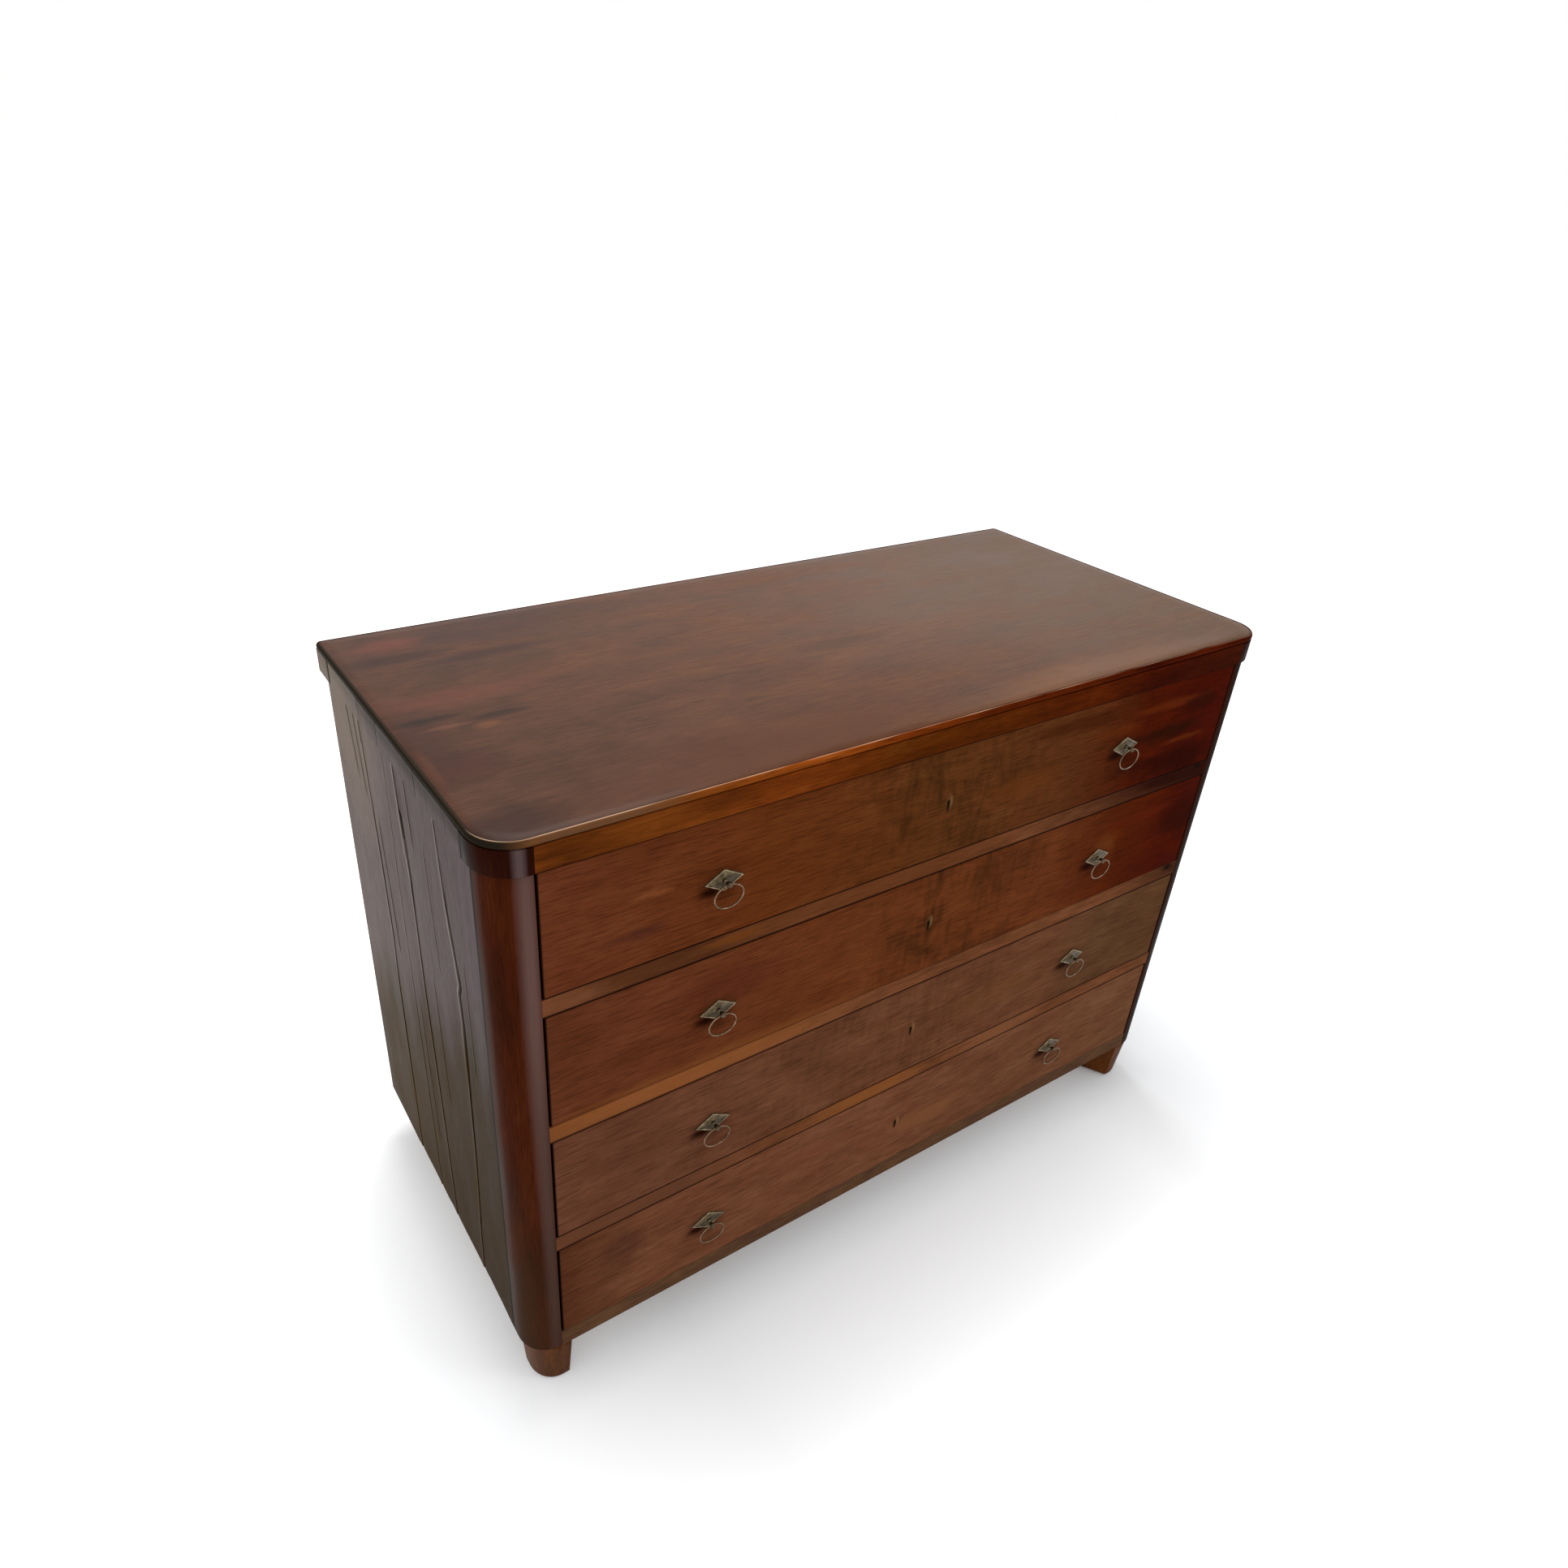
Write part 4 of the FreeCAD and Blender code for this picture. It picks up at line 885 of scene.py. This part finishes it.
# %% [markdown]
# ### Where the cracks run
#
# Heights and distances behind the front are in millimetres. A crack is a path down the side, its width and
# its depth; a joint is a narrow one, and a raised strand of grain is a crack with a negative depth.

# %% Cracks and joints of the sides
def crack(path, wide, deep, lip={0: 0}):
    """Sizes by height, in millimetres above the floor and behind the front, turned to metres in the chest."""
    rows = {key: [(z * MM, size * MM) for z, size in table.items()]
            for key, table in (("path", path), ("wide", wide), ("deep", deep), ("lip", lip))}
    return {**rows, "path": [(z, FRONT + y) for z, y in rows["path"]]}


def strand(path, high):
    """A raised strand of grain: a ridge 3 mm wide and high millimetres high, between the path's ends."""
    (top, start), *_, (bottom, end) = path.items()
    full = {top + 20: start + 1, **path, bottom - 20: end - 1, 0: end - 4}
    return crack(full, {0: 2.6}, {top + 20: 0, top: -high, bottom: -high, bottom - 20: 0})


LEFT_CRACKS = [
    crack({788: 158, 700: 150, 666: 146, 640: 142, 600: 133, 575: 128, 560: 134, 520: 131,
           450: 133, 420: 133, 300: 138, 150: 150, 74: 154},
          {788: 0.5, 690: 0.6, 665: 1.6, 640: 4.0, 612: 2.2, 585: 6.4, 560: 5.0, 530: 3.0,
           500: 6.0, 455: 6.4, 425: 1.4, 74: 0.6},
          {788: 0.4, 690: 0.6, 668: 1.6, 640: 6.0, 450: 6.5, 410: 1.6, 300: 1.1, 74: 0.8},
          {788: 0.6, 690: 0.7, 640: 1.0, 450: 1.0, 400: 0.8, 74: 0.6}),
    crack({788: 286, 720: 281, 628: 272, 460: 270, 258: 258, 74: 252},
          {788: 0.5, 718: 0.8, 697: 3.4, 660: 4.6, 636: 3.6, 622: 1.0, 560: 0.6, 74: 0.6},
          {788: 0.4, 722: 0.6, 700: 3.5, 640: 6.0, 618: 1.3, 560: 1.0, 400: 0.9, 74: 0.9},
          {788: 0.8, 714: 1.0, 620: 1.0, 560: 0.8, 74: 0.6}),
    crack({788: 410, 700: 402, 600: 394, 470: 386, 400: 392, 74: 394}, {788: 0.5, 74: 0.5},
          {788: 0.4, 680: 0.6, 640: 1.2, 500: 1.2, 440: 0.6, 380: 0.9, 280: 1.1, 180: 0.7,
           74: 0.7},
          {788: 0.8, 74: 0.7}),
    crack({788: 322, 500: 322, 74: 312}, {788: 0.4, 74: 0.4},
          {788: 0.1, 420: 0.5, 300: 0.8, 74: 0.5}, {788: 0.2, 74: 0.4}),
    strand({640: 378, 560: 368, 470: 362}, 0.9), strand({773: 457, 693: 442}, 0.9),
    strand({770: 430, 677: 416}, 0.9), strand({776: 252, 700: 246}, 0.9),
    strand({700: 205, 560: 196}, 0.6), strand({500: 226, 330: 218}, 0.6),
    strand({420: 300, 200: 290}, 0.6), strand({610: 108, 470: 104}, 0.5),
]
RIGHT_CRACKS = [
    crack({788: 148, 430: 152, 74: 150}, {788: 0.9, 74: 1.2}, {788: 1.8, 74: 2.2},
          {788: 0.5, 74: 0.7}),
    crack({788: 279, 500: 276, 74: 282}, {788: 1.2, 520: 2.8, 74: 1.0},
          {788: 2.0, 520: 5.0, 74: 1.6}, {788: 0.5, 520: 1.2, 74: 0.5}),
    crack({788: 406, 74: 404}, {788: 1.0, 74: 1.2}, {788: 1.8, 74: 2.4}, {788: 0.6, 74: 0.7}),
    crack({788: 345, 400: 352, 74: 349}, {788: 0.7, 74: 0.7}, {788: 0.8, 74: 1.1},
          {788: 0.3, 74: 0.3}),
    strand({700: 222, 520: 216}, 0.8), strand({640: 460, 420: 452}, 0.7),
]
FRIEZE_GAP = crack({830: 488, 74: 487}, {830: 4.0, 74: 4.0}, {830: 6, 74: 6},
                   {830: 0.5, 74: 0.5})
FRIEZE_CRACKS = [crack({830: y, 74: y}, {830: 0.8, 74: 0.8}, {830: 0.9, 74: 0.9})
                 for y in (369, 305, 182)]
SIDE_JOINTS = [FRONT + y * MM for y in (148, 279, 406)]
print("cracks, joints and strands on the left side:", len(LEFT_CRACKS), "on the right:", len(RIGHT_CRACKS))

# %% [markdown]
# ### The finish of the sides
#
# The sides were stained and thinly polished. A painted reflection lies on them: greyish lilac above and
# browner below a soft border that falls towards the back. Inside a crack the wood is nearly black with dust
# and wax and painted shade, and the lip behind it carries a painted highlight.

# %% Side boards
side_wood = polished_wood("stained_pine_sides_painted_sheen", "#5C4D49 #695A55 #736561 #807370", grain="z",
                          streak_mm=6, stretch=40, roughness=0.5, gloss=0.015, relief=0.35,
                          tint_along="Y", tint_span=(POST_BACK, BACK),
                          tints={0.0: "#DAD6E2", 0.4: "#E6E4EC", 0.75: "#FAFAFA", 1.0: "#FFFFFC"})
# The pale lips behind the cracks and the tops of raised strands are painted highlights.
edge_band(side_wood, "lip", "#AEA299", 0.65)
# A painted reflection: browner below the border, greyish lilac above it.
edge_band(side_wood, "brown", "#A8945E", 1.0, blend="MULTIPLY")
for _, sign in SIDES:
    outer = sign * CASE_HALF
    # Painted shade along the sides just under the overhanging top.
    mark(side_wood, (outer, 0.0, 0.812), (0.2, 0.9, 0.016), "#2C2A20", 0.6, 0.1)
    # A crisp line of painted shade in the gap behind each post.
    mark(side_wood, (outer, POST_BACK + 1.4 * MM, 0.43), (0.2, 4.2 * MM, LONG), "#120C08", 0.95, CRISP)
    # Painted sheen, lighter high up towards the back.
    mark(side_wood, (outer, 0.22, 0.76), (0.2, 0.16, 0.2), "#92826F", 0.45, 0.4)
# Dark wax and painted shade inside the cracks.
edge_band(side_wood, "crack", "#0A0604", 1.0)
for side, sign in SIDES:
    side_shape = add_side(f"side_boards_{side}", sign, LEFT_CRACKS if sign < 0 else RIGHT_CRACKS, 1.0, 0.8)
    add_side(f"frieze_{side}", sign, [FRIEZE_GAP] * (sign < 0) + FRIEZE_CRACKS, 0.6, 0.2)
print("grid of the right side:", side_shape[0], "by", side_shape[1], "points")

# %% [markdown]
# ## Drawers
#
# The drawer fronts keep the exact shape of the imported pieces. Their four front edges are eased, and the
# polish is rubbed through on the upper one to lighter wood; the others carry dark wax and painted gap shade.
# Streaks of flame figure run through the right ends of the upper two. Round each pull lies a dark mark,
# partly a stain left by hands and partly a painted shadow of the ring and plate, with a deeper painted shadow
# under the plate's lower left. The keyhole's rim is worn pale and painted shade darkens its opening, and
# crisp lines of painted shade run down the gaps at both ends.

# %% Marks on the drawer fronts
FRONT_MARKS = {        # x, z, two radii, colour and strength, for each drawer
    1: ((0.40, 0.752, 0.10, 0.009, "#6A2C0A", 0.45), (0.30, 0.735, 0.06, 0.010, "#6A2C0A", 0.4),
        (0.47, 0.742, 0.05, 0.018, "#220802", 0.6), (0.41, 0.708, 0.09, 0.016, "#200A02", 0.7),
        (0.45, 0.690, 0.05, 0.006, "#6E300C", 0.42), (0.36, 0.668, 0.07, 0.012, "#260802", 0.6),
        (0.45, 0.655, 0.10, 0.035, "#240400", 0.75), (0.13, 0.70, 0.08, 0.022, "#6E3A14", 0.4),
        (0.22, 0.765, 0.12, 0.018, "#3A1402", 0.55), (-0.40, 0.72, 0.03, 0.006, "#8A4E2C", 0.5),
        (-0.42, 0.675, 0.05, 0.010, "#46241E", 0.5)),
    2: ((0.40, 0.575, 0.09, 0.012, "#5E1C06", 0.5), (0.46, 0.515, 0.07, 0.012, "#561804", 0.4),
        (0.50, 0.545, 0.07, 0.05, "#220400", 0.6), (0.33, 0.54, 0.03, 0.03, "#6E3A18", 0.5),
        (-0.30, 0.459, 0.26, 0.012, "#7A4622", 0.6), (-0.30, 0.56, 0.10, 0.03, "#54241A", 0.5)),
    3: ((0.16, 0.35, 0.10, 0.03, "#744A28", 0.4),),
    4: ((-0.14, 0.2, 0.08, 0.02, "#7A4832", 0.4), (0.06, 0.16, 0.10, 0.025, "#845434", 0.55),
        (-0.44, 0.2, 0.04, 0.04, "#4A2A20", 0.5)),
}
for n in DRAWERS:
    front_marks(drawer_wood[n], FRONT_MARKS[n], roughness=0.7)
    low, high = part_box(f"drawer_{n}_front")
    for side, sign in SIDES:
        ring_low, ring_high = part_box(f"drawer_{n}_ring_{side}")
        pull = (ring_low + ring_high) / 2
        # Round each pull: a stain from hands with a painted shadow of ring and plate, then a painted shadow
        # under the plate.
        front_marks(drawer_wood[n], ((pull.x - 0.004, pull.z + 0.006, 0.036, 0.026, "#260C05", 0.5),
                                     (pull.x - 0.016, pull.z + 0.003, 0.020, 0.009, "#1C0602", 0.9, 0.3),
                                     # a crisp line of painted shade in the gap at each end of the front
                                     (sign * high.x, 0.45, 2.4 * MM, LONG, "#080403", 0.95, CRISP)))
    keyhole = (low.z + high.z) / 2
    # The keyhole's rim is worn pale, and painted shade darkens its opening.
    front_marks(drawer_wood[n], ((2 * MM, keyhole + 1 * MM, 6.5 * MM, 12 * MM, "#9A7248", 0.5, 0.2),
                                 (0, keyhole - 2 * MM, 4.4 * MM, 13 * MM, "#0A0502", 0.98, 0.05)))
print("marks on the drawers:", {n: len(rows) for n, rows in FRONT_MARKS.items()})

# %% [markdown]
# ### Plates of the pulls
#
# Each pull hangs from a cast lozenge plate, 50 mm wide, with a low moulded rim just inside its edge. The
# packed plates carry the post and the pierced head. The rim is a small profile carried round the lozenge.

# %% How the faces are painted, and the rims
PLATE_HALF_WIDE, PLATE_HALF_HIGH, PLATE_THICK = 25 * MM, 14 * MM, 1.8 * MM
RIM_PROFILE = np.array([(0.5, -0.5), (0.55, 0.1), (0.8, 0.32), (1.1, 0.38), (1.4, 0.28), (1.7, -0.3),
                        (0.5, -0.5)])        # mm inwards from the plate's edge and mm in front of its face


def front_edges(low, high):
    """Picks the edges that run round the front face."""
    def picks(edge):
        middle = (edge.verts[0].co + edge.verts[1].co) / 2
        on_face = all(abs(vertex.co.y - low.y) < ON_PLANE for vertex in edge.verts)
        rim = min(abs(middle[axis] - end[axis]) for end in (low, high) for axis in (0, 2))
        return on_face and rim < ON_PLANE
    return picks


def front_paint(face):
    """Veneer in front, rubbed light on the upper eased edge, dark wax with painted gap shade on the others
    and on the faces in the gaps, bare pine behind.
    """
    if face.material_index:
        return 1 if face.normal.z > 0.2 else 2
    return 0 if face.normal.y < -0.5 else 3 if face.normal.y > 0.5 else 2


def plate_paint(face):
    """Fingers rub the post and head that stand in front of the plate; the plate itself stays dark."""
    return 1 if face.calc_center_median().y < FRONT - 2 * MM else 0


def rim_grid(middle_x, middle_z):
    """Row k is the lozenge scaled about its middle by 1 - inset_k / r, at height_k in front of the plate.
    Its four sides touch the circle of radius r, and the last row closes on the first."""
    touching = PLATE_HALF_WIDE * PLATE_HALF_HIGH / math.hypot(PLATE_HALF_WIDE, PLATE_HALF_HIGH)
    inset, height = RIM_PROFILE.T * MM
    lozenge = np.array([(1, 0), (0, 1), (-1, 0), (0, -1)]) * (PLATE_HALF_WIDE, PLATE_HALF_HIGH)
    flat = lozenge[None] * (1 - inset[:, None, None] / touching) + (middle_x, middle_z)
    level = np.broadcast_to(FRONT - PLATE_THICK - height[:, None], flat.shape[:2])
    return np.stack([flat[..., 0], level, flat[..., 1]], -1), quads(*flat.shape[:2], wrap=True)


for n in DRAWERS:
    body = f"drawer_{n}"
    copy_of(f"{body}_front", f"{body}_veneer", drawer_wood[n], edge_wood, gap_wood, pine, body=body,
            ease=1.2 * MM, picks=front_edges(*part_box(f"{body}_front")), paint=front_paint)
    for part, wood in (("sides", oak), ("back", oak_across), ("bottom", oak_across)):
        frame["nodes"][f"{body}_{part}"].material_slots[0].material = wood
    copy_of(f"{body}_lock", "lock_brass", lock_brass, body=body)
    copy_of(f"{body}_lock_bolt", "lock_iron", lock_iron, body=f"lock_bolt_{n}")
    copy_of(f"{body}_pull_plates", "pull_brass", pull_brass, rubbed_brass, body=body, paint=plate_paint)
    low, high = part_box(f"{body}_pull_plates")
    rims = [rim_grid(sign * (high.x - PLATE_HALF_WIDE), (low.z + high.z) / 2) for _, sign in SIDES]
    add_piece(f"{body}_plate_rims", *joined(rims), body, [], "pull_brass", rubbed_brass, sharp_degrees=50)
print("drawer fronts eased:", len(DRAWERS))

# %% [markdown]
# ### Rings
#
# Each ring is an oval of brass wire that hangs from the pierced head of its pull. Long wear has taken the
# wire down to 0.8 of its packed thickness. It is a tube carried round an ellipse: at each point the tube's
# circle stands square to the ellipse.

# %% Ring pulls
WORN_WIRE = 0.8


def ring_grid(centre, half_wide, half_high, wire, around=72, section=16):
    """centre + (a cos t, 0, b sin t) plus wire radius times (cos s * normal in the plane + sin s * y)."""
    t = np.linspace(0, 2 * math.pi, around, endpoint=False)[:, None]
    s = np.linspace(0, 2 * math.pi, section, endpoint=False)[None, :]
    normal = np.stack([half_high * np.cos(t), half_wide * np.sin(t)], -1)
    normal /= np.linalg.norm(normal, axis=-1, keepdims=True)
    x = centre[0] + half_wide * np.cos(t) + wire * np.cos(s) * normal[..., 0]
    y = centre[1] + wire * np.sin(s) + 0 * t
    z = centre[2] + half_high * np.sin(t) + wire * np.cos(s) * normal[..., 1]
    grid = np.stack([x, y, z], -1)
    return np.concatenate([grid, grid[:1]]), quads(around + 1, section, wrap=True)


for n in DRAWERS:
    for side, _ in SIDES:
        node = f"drawer_{n}_ring_{side}"
        low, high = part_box(node)
        wire = WORN_WIRE * (high.y - low.y) / 2
        grid, faces = ring_grid((low + high) / 2, (high.x - low.x) / 2 - wire, (high.z - low.z) / 2 - wire,
                                wire)
        add_piece(f"{node}_cast", grid, faces, f"ring_{n}_{side}", [node], "ring_brass", ring_brass)
print("ring wire:", round(wire * 2000, 2), "mm")

# %% [markdown]
# ## Rails between the drawers
#
# The rails show only their front edges, faced with strips of mahogany that differ along their length: the
# lower two are orange in places, and the right ends of the upper two are dark. Like the drawer fronts they
# keep their imported shape, with the long edges eased in dark wax and painted gap shade, and crisp lines of
# painted shade run along the gaps above and below them.

# %% Rails
RAIL_MARKS = (        # x, z, two radii, colour, strength and, where given, roughness
    (-0.38, 0.446, 0.3, 0.03, "#92562C", 0.65), (-0.06, 0.265, 0.12, 0.03, "#8E5428", 0.6),
    (0.2, 0.265, 0.1, 0.03, "#845638", 0.5), (-0.42, 0.265, 0.22, 0.03, "#643E2C", 0.75),
    (-0.5, 0.625, 0.06, 0.04, "#7A4A30", 0.6), (-0.1, 0.625, 0.34, 0.04, "#5C3014", 0.6),
    (-0.38, 0.625, 0.13, 0.04, "#40200F", 0.6, 0.8), (-0.30, 0.625, 0.05, 0.008, "#7A4216", 0.5, 0.8),
    (0.49, 0.625, 0.33, 0.04, "#280802", 0.98, 0.2), (0.56, 0.446, 0.18, 0.03, "#34180A", 0.9, 0.2),
    (0.505, 0.452, 0.014, 0.008, "#0E0703", 0.9, 0.3), (0.505, 0.630, 0.010, 0.006, "#0E0703", 0.9, 0.3))
RAIL_TOP = 26 * MM        # from the top of a drawer front to the top edge of the rail above it


def rail_paint(face):
    """Veneer in front, dark wax with painted gap shade on the eased edges and bare pine everywhere else."""
    in_front = face.normal.y < -0.5 and face.calc_center_median().y < FRONT + MM
    return 1 if face.material_index else 0 if in_front else 2


front_marks(rail_wood, RAIL_MARKS)
# Crisp lines of painted shade along the gaps under and over each rail.
for n, upper_line in zip(DRAWERS[1:], (0.85, 0.25, 0.85)):
    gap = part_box(f"drawer_{n}_front")[1].z
    front_marks(rail_wood, ((0, gap + 1.5 * MM, LONG, 3.2 * MM, "#0C0403", 0.97, CRISP),
                            (0, gap + RAIL_TOP, LONG, 1.8 * MM, "#140806", upper_line, CRISP)))
for name, wood in (("drawer_rails", rail_wood), ("bottom_rail", bottom_rail_wood)):
    copy_of(name, "rail_veneer", wood, gap_wood, pine, ease=0.7 * MM, picks=long_front_edges(name),
            paint=rail_paint)
print("marks on the rails:", len(RAIL_MARKS))

# %% [markdown]
# ## Inside the case
#
# Runners, guides, stops, kickers, the rear rails and posts, the bottom and the back are plain planed pine.
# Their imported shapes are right, so they only take a finish. The three boards of the back, which run across,
# show the dark line of each joint.

# %% Pine parts
for joint in (1 / 3, 2 / 3):
    mark(pine_back, (0, BACK, back_low.z + joint * (back_high.z - back_low.z)), (LONG, 0.05, 2.2 * MM),
         "#140A04", 0.9, CRISP)
PINE_PARTS = ("frieze_rear", "top_kickers", "bottom_board", "rear_rails", "drawer_runners", "drawer_guides",
              "drawer_stops")
finishes = {**dict.fromkeys(PINE_PARTS, pine), "rear_posts": pine_upright, "back_boards": pine_back}
for name, wood in finishes.items():
    frame["nodes"][name].material_slots[0].material = wood
print("pine parts:", len(finishes))

# %% [markdown]
# ## Floor, sky and lamps
#
# The chest stands on a plain white floor in a bright studio. The floor is a pale matt sheet; what the
# camera and mirrors see of it is lifted towards white with a little light of its own, more so further from
# the chest and to the left, and the shadow stays. The world is white to the camera and softer as a light.
# Two soft lamps help it: a broad one overhead and behind, and a weaker one in front, to the right and above.

# %% Floor
def seen_directly(tree):
    """1 for what the camera, mirrors and glass see, and 0 for the light that falls on other things."""
    rays = add(tree, "LightPath").node.outputs
    seen = add(tree, "Math", (rays["Is Camera Ray"], rays["Is Glossy Ray"]), operation="MAXIMUM")
    return add(tree, "Math", (seen, rays["Is Transmission Ray"]), operation="MAXIMUM")


FLOOR_HALF = 30.0
floor_grid = np.array([(x, y, 0.0) for y in (-FLOOR_HALF, FLOOR_HALF) for x in (-FLOOR_HALF, FLOOR_HALF)])
floor_mesh = bpy.data.meshes.new("studio_floor")
floor_mesh.from_pydata(floor_grid.tolist(), [], [(0, 1, 3, 2)])
floor = bpy.data.objects.new("studio_floor", floor_mesh)
bpy.context.scene.collection.objects.link(floor)
floor_paint, tree, shader = start_material("matt_white_floor", Roughness=0.9, Specular_IOR_Level=0.0)
shader.inputs["Base Color"].default_value = linear("#F1F3F5")

# Distance from the case: the part of each folded coordinate beyond its half size.
place = add(tree, "TexCoord", out="Object")
folded = add(tree, "VectorMath", (place,), operation="ABSOLUTE")
beyond = add(tree, "VectorMath", (folded, (CASE_HALF, -FRONT, 0)), operation="SUBTRACT")
beyond = add(tree, "VectorMath", (beyond, (0, 0, 0)), operation="MAXIMUM")
far = add(tree, "VectorMath", (beyond,), out="Value", operation="LENGTH")
across = add(tree, "SeparateXYZ", (place,), out="X")
FLOOR_CLIMBS = (        # what is measured, where the climb starts and ends in metres, and what it adds
    (far, 0.0, 0.05, 0.12), (far, 0.05, 0.48, 0.40), (across, -0.35, -0.60, 0.15),
    (across, 0.42, 0.72, -0.19))
own_light = 0.10
for value, start, end, gain in FLOOR_CLIMBS:
    more = add(tree, "MapRange", (value, start, end, 0.0, gain))
    own_light = add(tree, "Math", (own_light, more), operation="ADD")
lift = add(tree, "Math", (seen_directly(tree), own_light), operation="MULTIPLY")
glow = add(tree, "Emission", ("#FFFFFF", lift))
total = add(tree, "AddShader", (shader.outputs[0], glow))
tree.links.new(total, tree.nodes["Material Output"].inputs["Surface"])
floor_mesh.materials.append(floor_paint)
print("floor:", 2 * FLOOR_HALF, "m square")

# %% World and lamps
world = bpy.data.worlds.new("studio")
bpy.context.scene.world = world
world.use_nodes = True
tree = world.node_tree
level = add(tree, "MapRange", (seen_directly(tree), 0.0, 1.0, 0.78, 1.0))
tree.links.new(level, tree.nodes["Background"].inputs["Strength"])
tree.nodes["Background"].inputs["Color"].default_value = linear("#FFFFFF")


def add_lamp(name, place, target, size, power):
    """A square soft lamp that faces its target: tipped by atan(flat / up), then turned along the floor."""
    lamp = bpy.data.objects.new(name, bpy.data.lights.new(name, "AREA"))
    lamp.data.size, lamp.data.energy = size, power
    lamp.location = place
    away = np.array(place) - np.array(target)
    flat = math.hypot(away[0], away[1])
    lamp.rotation_euler = (math.atan2(flat, away[2]), 0, math.atan2(away[0], -away[1]))
    bpy.context.scene.collection.objects.link(lamp)


add_lamp("softbox", (1.7, -2.2, 2.4), (0.0, 0.0, 0.4), 0.9, 12)
add_lamp("overhead", (0.3, 1.2, 3.4), (0.0, -0.1, 0.2), 1.6, 60)
